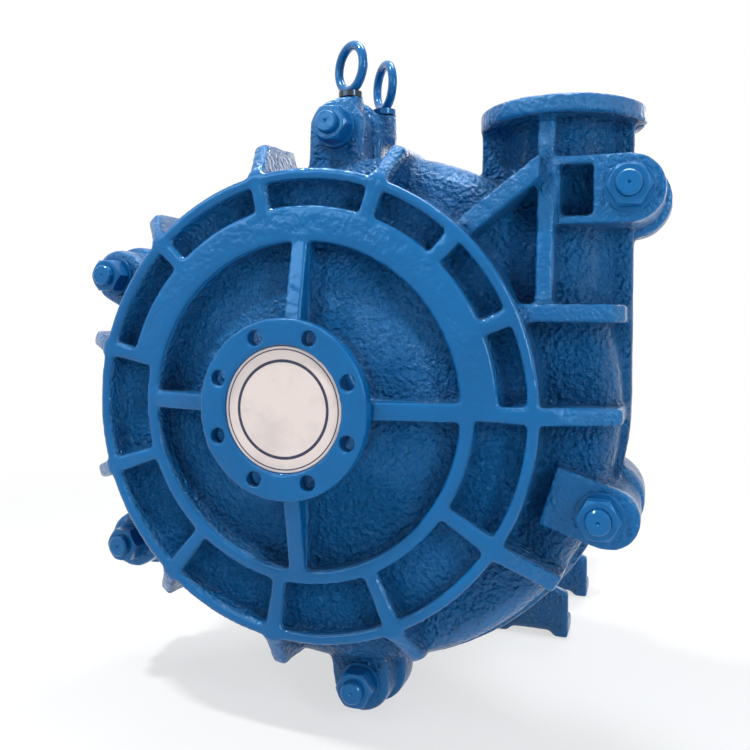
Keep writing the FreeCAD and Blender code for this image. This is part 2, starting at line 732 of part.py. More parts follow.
def hollow_casing_half(body, label, side):
    """Cut the liner chambers, the discharge bore and the bolt holes of one casing half."""
    away = side > 0
    chamber = new_sketch(body, label + "_chamber", "XZ_Plane", -PARTING)
    passage_outline(chamber, LINER_INSET)
    pocket(body, chamber, LINER_HALF, reverse=not away)
    core = new_sketch(body, label + "_core", "XZ_Plane", -PARTING)
    circle(core, 0, 0, cell("core_radius"))
    pocket(body, core, CORE, reverse=not away)
    bore = new_sketch(body, label + "_bore", "XY_Plane", DISCHARGE_TOP)
    circle(bore, DISCHARGE_X, PARTING, cell("nozzle_radius") + cell("liner_gap"))
    pocket(body, bore, DISCHARGE_TOP - NOZZLE_START)
    joint = new_sketch(body, label + "_joint", "XY_Plane", DISCHARGE_TOP)
    circle(joint, DISCHARGE_X, PARTING, cell("nozzle_radius") + cell("port_joint"))
    pocket(body, joint, cell("port_joint_depth"))
    taps = new_sketch(body, label + "_taps", "XY_Plane", DISCHARGE_TOP)
    for index in range(4):
        angle = 22.5 + 45 * index + (0 if away else 180)
        reach = cell("discharge_pcd") / 2
        circle(taps, DISCHARGE_X + reach * cosine(angle), PARTING + reach * sine(angle),
               cell("discharge_hole"))
    pocket(body, taps, cell("discharge_taps"))
    deepest = SIDE_BACK if away else SIDE_FRONT
    for name, depth, studs in (("lug_holes", LUG_DEPTH, STUDS[:4]), ("side_holes", deepest, STUDS[4:])):
        holes = new_sketch(body, "%s_%s" % (label, name), "XZ_Plane", -PARTING)
        for stud in studs:
            circle(holes, stud[0], stud[1], cell("stud_radius") + FIT)
        pocket(body, holes, depth + 5, reverse=not away)


def radial_sketch(body, name, angle):
    """A sketch in the plane through the shaft axis at an angle: x is Y, y is the radius."""
    return new_sketch(body, name, "YZ_Plane", 0, Vector(1, 0, 0), 90 - size(angle))


def cover_plate():
    label = "cover_plate"
    rim = cell("rim_radius")
    band = cell("band_radius")
    neck = cell("neck_radius")
    wall_back = PARTING - LINER_HALF
    profile = [
        (0, cell("recess_radius")), (0, cell("flange_radius")),
        (cell("flange_depth"), cell("flange_radius")), (cell("flange_depth"), neck),
        (cell("dish_neck") - cell("neck_slope"), neck), (cell("dish_neck"), neck + cell("neck_foot")),
        (RIM_FRONT + cell("dish_depth"), band), (RIM_FRONT, band), (RIM_FRONT, rim),
        (wall_back, rim), (wall_back, NOZZLE + CLEAR), (cell("flange_depth"), NOZZLE + CLEAR),
        (cell("flange_depth"), JOINT_RADIUS), (cell("recess_depth"), JOINT_RADIUS),
        (cell("recess_depth"), cell("recess_radius")),
    ]
    body = casing_half(label, -1, cell("lug_radius"), profile)

    # Four radial ribs tie the neck to the band.
    dish_rib = radial_sketch(body, "dish_rib", 90)
    rib_back = RIM_FRONT + cell("dish_depth") + 8
    polygon(dish_rib, [(cell("flange_depth") + 4, neck - 5), (RIM_FRONT, band + 3),
                       (rib_back, band + 3), (rib_back, neck - 5)])
    around(body, pad(body, dish_rib, cell("dish_rib"), both=True), 4)

    # The webs run on outside the rim as ribs down to the parting flange.
    rib_end = PARTING - cell("lip_depth")
    corner = cell("outer_rib_corner")
    outer_rib = radial_sketch(body, "outer_rib", WEB_ANGLES[3])
    polygon(outer_rib, [(RIM_FRONT, rim - 5), (RIM_FRONT, rim + 1), (cell("outer_rib_front"), corner),
                        (rib_end + 4, corner + 4), (rib_end + 4, rim - 5)])
    around(body, pad(body, outer_rib, cell("outer_rib"), both=True), 8, WEB_OPEN.value * 7, True)
    for name, angle, reach in (("side_rib", size(0), CASING_SIDE - 8),
                               ("low_rib", -WEB_OPEN, CASING_SIDE - 22)):
        long_rib = radial_sketch(body, name, angle)
        polygon(long_rib, [(RIM_FRONT, rim - 5), (RIM_FRONT, rim + 1), (cell("outer_rib_front"), reach),
                           (rib_end + 4, reach + 3), (rib_end + 4, rim - 5)])
        pad(body, long_rib, cell("outer_rib"), both=True)

    neck_ribs(body)
    lifting_boss(body, "cover_boss", EYE_FRONT)
    hollow_casing_half(body, label, -1)

    # Pockets between the webs.
    pockets = new_sketch(body, "rim_pockets", "XZ_Plane", -RIM_FRONT)
    inside_rim = rim - cell("rim_width")
    for index, angle in enumerate(WEB_ANGLES):
        following = WEB_ANGLES[index + 1] if index < 11 else size(360)
        width = cell("wide_band") if index < WIDE_BAND_POCKETS else cell("narrow_band")
        margin = cell("web_width") / 2 / inside_rim * (180 / math.pi) * 1.08
        sector(pockets, band + width, inside_rim, angle + margin, following - margin)
    pocket(body, pockets, cell("pocket_depth"))
    drill_circle(body, "suction_holes", 0, cell("flange_depth"), cell("suction_pcd") / 2,
                 cell("suction_hole"), 8, 22.5)
    return keep(body)


def neck_ribs(body):
    """The upright, cross and slanting ribs that brace the neck against the rim."""
    width = cell("outer_rib")
    wall = PARTING - cell("bowl_depth") + 10
    left = DISCHARGE_X - 19
    cross = cell("rim_radius") * sine(WEB_CLOSE)
    upright = new_sketch(body, "neck_rib", "YZ_Plane", left)
    polygon(upright, [(76, cross), (97, DISCHARGE_TOP - cell("discharge_depth") / 2),
                      (wall, DISCHARGE_TOP - cell("discharge_depth") / 2), (wall, cross)])
    pad(body, upright, width)
    side = CASING_SIDE - 6
    level = new_sketch(body, "cross_rib", "XY_Plane", cross - width / 2)
    foot = PARTING - cell("lip_depth") + 4
    polygon(level, [(DISCHARGE_X - 45, 66), (side - 12, 78), (side, 92), (side, foot),
                    (side - 40, foot), (DISCHARGE_X + 30, PARTING - 60), (DISCHARGE_X - 45, PARTING - 60)])
    pad(body, level, width)
    slant = new_sketch(body, "slant_rib", "XZ_Plane", -70)
    polygon(slant, [(205, 238), (220, 218), (left + 6, 283), (left + 6, 312)])
    pad(body, slant, PARTING - 120, reverse=True)


TOP_STUD = STUDS[0]
EYE_FRONT = (TOP_STUD[0] + 14, PARTING - 27, TOP_STUD[1] + cell("lug_radius") + 3)
EYE_REAR = (TOP_STUD[0] + 46, PARTING + 28, TOP_STUD[1] + 30)


SPOT_FACE = 40


def lifting_boss(body, name, place):
    """A round boss that an eyebolt screws into from above."""
    x, y, top = place
    height = cell("boss_height")
    boss = new_sketch(body, name, "XY_Plane", top - height)
    circle(boss, x, y, cell("eye_collar") + 2)
    pad(body, boss, height)
    spot_face = new_sketch(body, name + "_face", "XY_Plane", top + SPOT_FACE)
    circle(spot_face, x, y, cell("eye_collar") + 1)
    pocket(body, spot_face, SPOT_FACE)


def frame_plate():
    label = "frame_plate"
    wall_back = PARTING + LINER_HALF
    rim = cell("rim_radius")
    spigot = cell("spigot_radius")
    back_face = BACK_WALL + cell("back_rise")
    profile = [
        (wall_back, rim), (BACK_WALL, rim), (back_face, rim - 18), (back_face, HUB_RADIUS),
        (BASE_FACE, HUB_RADIUS), (BASE_FACE, BOX_ROOM), (BOX_FLANGE_END, BOX_ROOM),
        (BOX_FLANGE_END, spigot + FIT), (wall_back, spigot + FIT),
    ]
    body = casing_half(label, 1, cell("rear_lug_radius"), profile)
    rib = radial_sketch(body, "back_rib", 22.5)
    polygon(rib, [(BACK_WALL - 20, rim - 20), (BACK_WALL + 8, rim + 6), (back_face, rim - 12),
                  (BASE_FACE - 6, HUB_RADIUS + 2), (BASE_FACE - 6, HUB_RADIUS - 5),
                  (BACK_WALL - 20, HUB_RADIUS - 5)])
    around(body, pad(body, rib, cell("outer_rib"), both=True), 8)
    lifting_boss(body, "frame_boss", EYE_REAR)
    hollow_casing_half(body, label, 1)
    taps = new_sketch(body, "base_taps", "XZ_Plane", -BASE_FACE)
    reach = cell("base_pcd") / 2
    circle(taps, reach * cosine(22.5), reach * sine(22.5), cell("base_stud") + FIT)
    around(body, pocket(body, taps, cell("base_tap"), reverse=True), 8)
    return keep(body)


# ---------------------------------------------------------------------------------------------
# Liners and impeller
# ---------------------------------------------------------------------------------------------
LINER_GAP = cell("liner_gap")
BUSH = cell("bush_radius")
PASSAGE_HALF = cell("passage_half")
IMPELLER_FRONT = PARTING - cell("impeller_half")
IMPELLER_BACK = PARTING + cell("impeller_half")
BOSS_END = BACK_WALL - 8
VANE_ENTRY = 30
VANE_EXIT = 25
VANE_TIP_ANGLE = 60
VANE_ROOT_ANGLE = 158


def volute_liner():
    body = new_body("volute_liner")
    gap = LINER_GAP
    outer = new_sketch(body, "liner_outer", "XZ_Plane", -PARTING)
    passage_outline(outer, LINER_INSET + gap)
    pad(body, outer, (LINER_HALF - gap) * 2, both=True)
    middle = new_sketch(body, "liner_middle", "XZ_Plane", -PARTING)
    circle(middle, 0, 0, cell("core_radius") - gap)
    pad(body, middle, (CORE - gap) * 2, both=True)
    nozzle_top = DISCHARGE_TOP - cell("port_joint_depth")
    nozzle = new_sketch(body, "liner_nozzle", "XY_Plane", nozzle_top)
    circle(nozzle, DISCHARGE_X, PARTING, cell("nozzle_radius"))
    pad(body, nozzle, nozzle_top - NOZZLE_START - 1, reverse=True)
    passage = new_sketch(body, "liner_passage", "XZ_Plane", -PARTING)
    passage_outline(passage, LINER_INSET + gap + cell("liner_wall"))
    pocket(body, passage, PASSAGE_HALF * 2, both=True)
    mouth = new_sketch(body, "liner_mouth", "XZ_Plane", -PARTING)
    circle(mouth, 0, 0, BUSH + gap)
    pocket(body, mouth, CORE * 2 + 2, both=True)
    outlet = new_sketch(body, "liner_outlet", "XY_Plane", DISCHARGE_TOP)
    circle(outlet, DISCHARGE_X, PARTING, cell("discharge_bore"))
    pocket(body, outlet, DISCHARGE_TOP - cell("neck_start") - 20)
    return keep(body)


def throatbush():
    front = PARTING - BUSH_HALF
    face = IMPELLER_FRONT - cell("face_gap")
    throat = cell("throat_radius")
    return keep(turned("throatbush", [
        (cell("recess_depth") + 0.2, throat), (cell("recess_depth") + 0.2, NOZZLE), (front, NOZZLE),
        (front, BUSH), (face, BUSH), (face, cell("eye_radius")), (face - 25, throat),
    ]))


def back_liner():
    bore = cell("boss_radius") + cell("face_gap")
    return keep(ring("back_liner", IMPELLER_BACK + cell("face_gap"), PARTING + BUSH_HALF, bore, BUSH))


def impeller():
    body = new_body("impeller")
    tip = cell("impeller_radius")
    hub = cell("hub_radius")
    eye = cell("eye_radius")
    shroud = cell("shroud")
    bore = cell("shaft_radius") - 2
    inner_front = IMPELLER_FRONT + shroud
    inner_back = IMPELLER_BACK - shroud
    thread_end = PARTING + 15
    hub_sketch = new_sketch(body, "impeller_hub", "YZ_Plane")
    polygon(hub_sketch, [
        (PARTING - 8, 0), (PARTING - 8, hub - 34), (PARTING, hub - 16), (inner_back, hub),
        (inner_back, tip), (IMPELLER_BACK, tip), (IMPELLER_BACK, cell("boss_radius")),
        (BOSS_END, cell("boss_radius")), (BOSS_END, bore), (thread_end, bore), (thread_end, 0),
    ])
    revolve(body, hub_sketch)
    vane = new_sketch(body, "impeller_vane", "XZ_Plane", -(inner_front - 2))
    vane_outline(vane, eye + 18, tip)
    around(body, pad(body, vane, inner_back - inner_front + 4, reverse=True), 5)
    trim = new_sketch(body, "vane_trim", "YZ_Plane")
    polygon(trim, [(inner_front - 4, tip), (inner_front - 4, tip + 60), (inner_back + 4, tip + 60),
                   (inner_back + 4, tip)])
    revolve(body, trim, "Groove")
    front = new_sketch(body, "impeller_shroud", "YZ_Plane")
    polygon(front, [(IMPELLER_FRONT, eye), (IMPELLER_FRONT, tip), (inner_front, tip), (inner_front, eye + 8)])
    revolve(body, front)
    return keep(body)


def vane_outline(sketch, start, tip):
    """A backward curved vane between two arcs of one centre.

    The arc makes the entry angle with the circle at the start radius and the exit angle with the
    circle at the tip, which settles its radius and the distance of its centre from the shaft.
    """
    entry, leave = cosine(VANE_ENTRY), cosine(VANE_EXIT)
    radius = (tip * tip - start * start) / ((tip * leave - start * entry) * 2)
    centre = root(start * start + radius * radius - start * radius * entry * 2)
    outer = radius + cell("vane") / 2
    inner = radius - cell("vane") / 2
    over = arc_edge(sketch, centre.value, 0, outer.value, VANE_TIP_ANGLE, VANE_ROOT_ANGLE)
    under = arc_edge(sketch, centre.value, 0, inner.value, VANE_TIP_ANGLE, VANE_ROOT_ANGLE)
    for edge, arc_radius in ((over, outer), (under, inner)):
        pin_point(sketch, edge, 3, centre, size(0))
        fix_radius(sketch, edge, arc_radius)
        pin_point(sketch, edge, 1, centre + arc_radius * cosine(VANE_TIP_ANGLE), None)
        pin_point(sketch, edge, 2, centre + arc_radius * cosine(VANE_ROOT_ANGLE), None)
    middle = Vector(centre.value, 0, 0)
    for end, angle in ((1, VANE_TIP_ANGLE), (2, VANE_ROOT_ANGLE)):
        way = Vector(math.cos(math.radians(angle)), math.sin(math.radians(angle)), 0)
        side = sketch.addGeometry(Part.LineSegment(middle + way * inner.value, middle + way * outer.value))
        sketch.addConstraint(Sketcher.Constraint("Coincident", under, end, side, 1))
        sketch.addConstraint(Sketcher.Constraint("Coincident", over, end, side, 2))


# ---------------------------------------------------------------------------------------------
# Joint rings, suction cover and stuffing box
# ---------------------------------------------------------------------------------------------
BOX_BACK = cell("box_back")
BOX_BORE = cell("box_bore")
SLEEVE = cell("sleeve_radius")
PACKING = cell("packing_width")
CHAMBER_FRONT = BACK_WALL + 16
LANTERN_END = CHAMBER_FRONT + 18
PACKING_END = LANTERN_END + PACKING * 4 + 1
GLAND_FACE = BOX_BACK + 6


def joint_rings():
    keep(ring("intake_joint", cell("recess_depth"), cell("flange_depth") - 0.2, NOZZLE + FIT,
              JOINT_RADIUS - FIT))
    depth = cell("port_joint_depth")
    joint = cylinder("discharge_joint_disc", DISCHARGE_X, PARTING, DISCHARGE_TOP - depth,
                     cell("nozzle_radius") + cell("port_joint") - FIT, depth, "z")
    hole = cylinder("discharge_joint_hole", DISCHARGE_X, PARTING, DISCHARGE_TOP - depth - 1,
                    cell("discharge_bore"), depth + 2, "z")
    keep(cut("discharge_joint", joint, hole))


def suction_cover():
    """The thin blank that keeps dirt out of the suction while the pump is in store."""
    body = new_body("suction_cover")
    radius = cell("recess_radius") - CLEAR * 2
    back = cell("recess_depth") - CLEAR
    sketch = new_sketch(body, "suction_cover_profile", "YZ_Plane")
    polygon(sketch, [(back, 0), (back, radius), (back - 5, radius), (back - 5.6, radius - 1.5),
                     (back - 5.6, 0)])
    revolve(body, sketch)
    return keep(body)


def stuffing_box():
    spigot = cell("spigot_radius")
    body = turned("stuffing_box", [
        (BACK_WALL, SLEEVE + 4), (BACK_WALL, spigot), (BOX_FLANGE_END, spigot),
        (BOX_FLANGE_END, cell("box_radius")), (BOX_BACK, cell("box_radius")), (BOX_BACK, BOX_BORE),
        (CHAMBER_FRONT, BOX_BORE), (CHAMBER_FRONT, SLEEVE + 4),
    ])
    port = new_sketch(body, "water_port", "XY_Plane", 0)
    circle(port, 0, CHAMBER_FRONT + 9, 4)
    pocket(body, port, cell("box_radius") + 5, reverse=True)
    port_y = BOX_BACK - 30
    rise, sunk = 12, 6
    boss = new_sketch(body, "port_boss", "XY_Plane", cell("box_radius") - sunk)
    circle(boss, 0, port_y, cell("port_radius") * 2)
    pad(body, boss, rise + sunk)
    inlet = new_sketch(body, "port_inlet", "XY_Plane", cell("box_radius") + rise)
    circle(inlet, 0, port_y, cell("port_radius"))
    pocket(body, inlet, 26)
    taps = new_sketch(body, "gland_taps", "XZ_Plane", -BOX_BACK)
    circle(taps, cell("gland_stud_x"), 0, cell("gland_stud") + FIT)
    circle(taps, -cell("gland_stud_x"), 0, cell("gland_stud") + FIT)
    pocket(body, taps, 30, reverse=True)
    return keep(body)


def packing():
    keep(ring("lantern_ring", CHAMBER_FRONT + FIT, LANTERN_END, SLEEVE + 1, BOX_BORE - FIT))
    rings = []
    for index in range(4):
        front = LANTERN_END + FIT + (PACKING + FIT) * index
        outer = cylinder("packing_outer_%d" % index, 0, front, 0, BOX_BORE - FIT, PACKING)
        inner = cylinder("packing_inner_%d" % index, 0, front - 1, 0, SLEEVE + CLEAR, PACKING + 2)
        rings.append(cut("packing_ring_%d" % index, outer, inner))
    keep(group("packing_rings", rings))


def gland():
    """A gland split along the shaft, with a nose that presses on the packing."""
    reach = cell("gland_flange")
    stud_x = cell("gland_stud_x")
    nose_front = PACKING_END + 1
    depth, half = 18, 38
    flange = box("gland_plate", -reach, GLAND_FACE, -half, reach * 2, depth, half * 2)
    nose = cylinder("gland_nose", 0, nose_front, 0, BOX_BORE - CLEAR, GLAND_FACE - nose_front + 1)
    collar = cylinder("gland_collar", 0, GLAND_FACE, 0, BOX_BORE + 8, depth)
    solid = fuse("gland_solid", [flange, nose, collar])
    bore = cylinder("gland_bore", 0, nose_front - 1, 0, SLEEVE + 1.2, 80)
    slit = box("gland_slit", -0.5, nose_front - 1, -80, 1, 80, 160)
    tools = [bore, slit]
    for side in (-1, 1):
        tools.append(cylinder("gland_hole_%d" % side, stud_x * side, GLAND_FACE - 1, 0,
                              cell("gland_stud") + CLEAR, depth + 2))
    keep(cut("gland", solid, fuse("gland_tools", tools)))
    sunk, proud = 28, 62
    studs, nuts = [], []
    for side in (-1, 1):
        studs.append(cylinder("gland_stud_%d" % side, stud_x * side, BOX_BACK - sunk, 0,
                              cell("gland_stud"), sunk + proud))
        blank = hexagon("gland_nut_blank_%d" % side, stud_x * side, GLAND_FACE + depth, 0, 24, 13)
        hole = cylinder("gland_nut_hole_%d" % side, stud_x * side, GLAND_FACE + depth - 1, 0,
                        cell("gland_stud") + CLEAR, 16)
        nuts.append(cut("gland_nut_%d" % side, blank, hole))
    keep(group("gland_studs", studs))
    keep(group("gland_nuts", nuts))


# ---------------------------------------------------------------------------------------------
# Rotor
# ---------------------------------------------------------------------------------------------
HOUSING_FRONT = cell("housing_front")
HOUSING_BACK = HOUSING_FRONT + cell("housing_length")
SPIGOT_DEPTH = 14.5
BEARING_WIDTH = cell("bearing_width")
BEARING_FRONTS = (HOUSING_FRONT + SPIGOT_DEPTH + 0.5,
                  HOUSING_BACK - SPIGOT_DEPTH - 0.5 - BEARING_WIDTH)
SLEEVE_END = BOX_BACK + 54
COLLAR_END = SLEEVE_END + 22
SEAT = cell("seat_radius")
SEAL_OUTER = 59.5
DRIVE_START = HOUSING_BACK + 17
DRIVE_END = DRIVE_START + cell("drive_length")
KEY_WIDTH = 18
KEY_DEPTH = 11
KEY_SINK = 7
KEY_LENGTH = 90


def shaft():
    under = cell("shaft_radius")
    drive = cell("drive_radius")
    seat_front = COLLAR_END + 8
    barrel_front = BEARING_FRONTS[0] + BEARING_WIDTH
    barrel_back = BEARING_FRONTS[1]
    body = turned("shaft", [
        (PARTING + 15.5, 0), (PARTING + 15.5, under - 2.2), (BOSS_END, under - 2.2), (BOSS_END, under),
        (COLLAR_END, under), (seat_front, SEAT), (barrel_front, SEAT),
        (barrel_front, cell("barrel_radius")), (barrel_back, cell("barrel_radius")), (barrel_back, SEAT),
        (DRIVE_START, SEAT), (DRIVE_START, drive), (DRIVE_END - 2, drive), (DRIVE_END, drive - 2),
        (DRIVE_END, 0),
    ])
    slot = new_sketch(body, "keyway", "XY_Plane", drive - KEY_SINK)
    half = size(KEY_WIDTH) / 2 + 0.1
    near = DRIVE_END - 10
    polygon(slot, [(-half, near - KEY_LENGTH - 0.2), (half, near - KEY_LENGTH - 0.2), (half, near),
                   (-half, near)])
    pocket(body, slot, KEY_SINK + 2, reverse=True)
    keep(body)
    keep(box("shaft_key", -size(KEY_WIDTH) / 2, near - KEY_LENGTH - 0.1, drive - KEY_SINK, KEY_WIDTH,
             KEY_LENGTH, KEY_DEPTH))


def rotor_rings():
    under = cell("shaft_radius") + FIT
    keep(ring("shaft_sleeve", BOSS_END, SLEEVE_END, under, SLEEVE))
    collar = ring("release_collar", SLEEVE_END, COLLAR_END, under, SLEEVE + 12)
    notch = new_sketch(collar, "collar_notches", "XZ_Plane", -SLEEVE_END)
    circle(notch, SLEEVE + 12, 0, 7)
    around(collar, pocket(collar, notch, 22), 3)
    keep(collar)
    for name, front, back in (("front", HOUSING_FRONT - 17, HOUSING_FRONT + 11),
                              ("rear", HOUSING_BACK - 11, HOUSING_BACK + 17)):
        third = (back - front) / 3
        keep(turned("labyrinth_" + name, [
            (front, SEAT + FIT), (front, SEAL_OUTER), (front + third - 2, SEAL_OUTER),
            (front + third - 2, SEAL_OUTER - 5), (front + third + 2, SEAL_OUTER - 5),
            (front + third + 2, SEAL_OUTER), (back - third - 2, SEAL_OUTER),
            (back - third - 2, SEAL_OUTER - 5), (back - third + 2, SEAL_OUTER - 5),
            (back - third + 2, SEAL_OUTER), (back, SEAL_OUTER), (back, SEAT + FIT),
        ]))


def bearings():
    """Two roller bearings: outer rings in the housing, inner rings and rollers on the shaft."""
    radius = cell("roller_radius")
    pitch = cell("roller_circle")
    for name, front in zip(("front", "rear"), BEARING_FRONTS):
        keep(ring("bearing_outer_" + name, front, front + BEARING_WIDTH, pitch + radius + CLEAR,
                  cell("bearing_radius")))
        keep(ring("bearing_inner_" + name, front, front + BEARING_WIDTH, SEAT + FIT,
                  pitch - radius - FIT))
        rollers = []
        for index in range(12):
            angle = 30 * index
            rollers.append(cylinder("roller_%s_%d" % (name, index), pitch * cosine(angle), front + 4,
                                    pitch * sine(angle), radius, BEARING_WIDTH - 8))
        keep(group("rollers_" + name, rollers))


# ---------------------------------------------------------------------------------------------
# Bearing housing
# ---------------------------------------------------------------------------------------------
RAIL_TOP = cell("rail_top")
CLAMP_X = cell("wall_inner") + cell("wall") / 2
CLAMP_YS = (HOUSING_FRONT + 60, HOUSING_BACK - 60)
SCREW_Z = -cell("adjust_drop")
SCREW = cell("screw_radius")
SCREW_LUG = 24
SCREW_TAIL = 14
END_FLANGE = 20
FLANGE_FOOT = 24
LUG_BACK = HOUSING_BACK - 93
STUD = cell("clamp_stud")
TRAVEL = cell("axial_travel")


def bearing_housing():
    outer = cell("housing_radius")
    flange = cell("housing_flange")
    seat = cell("bearing_radius") + FIT
    bore = cell("bearing_radius") - 8
    body = turned("bearing_housing", [
        (HOUSING_FRONT, bore), (HOUSING_FRONT, flange), (HOUSING_FRONT + END_FLANGE, flange),
        (HOUSING_FRONT + FLANGE_FOOT, outer), (HOUSING_BACK - FLANGE_FOOT, outer),
        (HOUSING_BACK - END_FLANGE, flange), (HOUSING_BACK, flange), (HOUSING_BACK, bore),
    ])
    wing = new_sketch(body, "wing", "XY_Plane", RAIL_TOP)
    reach = cell("wing_reach")
    polygon(wing, [(outer - 14, CLAMP_YS[0] - 30), (reach, CLAMP_YS[0] - 30),
                   (reach, CLAMP_YS[1] + 30), (outer - 14, CLAMP_YS[1] + 30)])
    mirrored(body, pad(body, wing, -RAIL_TOP))
    lug = new_sketch(body, "screw_lug", "XZ_Plane", -LUG_BACK)
    polygon(lug, [(-30, -outer + 8), (-20, SCREW_Z - 22), (20, SCREW_Z - 22), (30, -outer + 8)])
    pad(body, lug, SCREW_LUG)
    bores = new_sketch(body, "housing_bores", "YZ_Plane")
    polygon(bores, [
        (HOUSING_FRONT, 0), (HOUSING_FRONT, seat), (BEARING_FRONTS[0] + BEARING_WIDTH, seat),
        (BEARING_FRONTS[0] + BEARING_WIDTH, bore), (BEARING_FRONTS[1], bore), (BEARING_FRONTS[1], seat),
        (HOUSING_BACK, seat), (HOUSING_BACK, 0),
    ])
    revolve(body, bores, "Groove")
    slots = new_sketch(body, "wing_slots", "XY_Plane", 0)
    half = STUD + 1
    run = STUD + TRAVEL + 2
    for y in CLAMP_YS:
        polygon(slots, [(CLAMP_X - half, y - run), (CLAMP_X + half, y - run), (CLAMP_X + half, y + run),
                        (CLAMP_X - half, y + run)])
    mirrored(body, pocket(body, slots, -RAIL_TOP + 1))
    screw_hole = new_sketch(body, "screw_hole", "XZ_Plane", -(LUG_BACK - SCREW_LUG - 1))
    circle(screw_hole, 0, SCREW_Z, SCREW + FIT)
    pocket(body, screw_hole, SCREW_LUG + 2)
    keep(body)
    screw_front = LUG_BACK - SCREW_LUG
    keep(cylinder("adjusting_screw", 0, screw_front, SCREW_Z, SCREW, HOUSING_BACK + SCREW_TAIL - screw_front))


def end_covers():
    flange = cell("housing_flange")
    spigot = cell("bearing_radius") - FIT
    bore = SEAL_OUTER + 0.5
    depth = cell("cover_depth")
    keep(turned("end_cover_front", [
        (HOUSING_FRONT - depth, bore), (HOUSING_FRONT - depth, flange - 3),
        (HOUSING_FRONT - depth + 3, flange), (HOUSING_FRONT, flange), (HOUSING_FRONT, spigot),
        (HOUSING_FRONT + SPIGOT_DEPTH, spigot), (HOUSING_FRONT + SPIGOT_DEPTH, bore),
    ]))
    keep(turned("end_cover_rear", [
        (HOUSING_BACK + depth, bore), (HOUSING_BACK + depth, flange - 3),
        (HOUSING_BACK + depth - 3, flange), (HOUSING_BACK, flange), (HOUSING_BACK, spigot),
        (HOUSING_BACK - SPIGOT_DEPTH, spigot), (HOUSING_BACK - SPIGOT_DEPTH, bore),
    ]))
    heads = []
    reach = flange - 14
    for name, start in (("front", HOUSING_FRONT - depth - 8), ("rear", HOUSING_BACK + depth)):
        for index in range(8):
            angle = 22.5 + 45 * index
            heads.append(hexagon("cover_bolt_%s_%d" % (name, index), reach * cosine(angle), start,
                                 reach * sine(angle), 18, 8))
    keep(group("end_cover_bolts", heads))


# ---------------------------------------------------------------------------------------------
# Base
# ---------------------------------------------------------------------------------------------
GROUND = -cell("base_bottom")
FRONT_FOOT = cell("front_foot")
REAR_FOOT = cell("rear_foot")
FOOT_LENGTH = cell("foot_length")
FOOT_TOP = GROUND + cell("foot_height")
SOLE = 28
SADDLE = 22
FOOT_WEB = 20


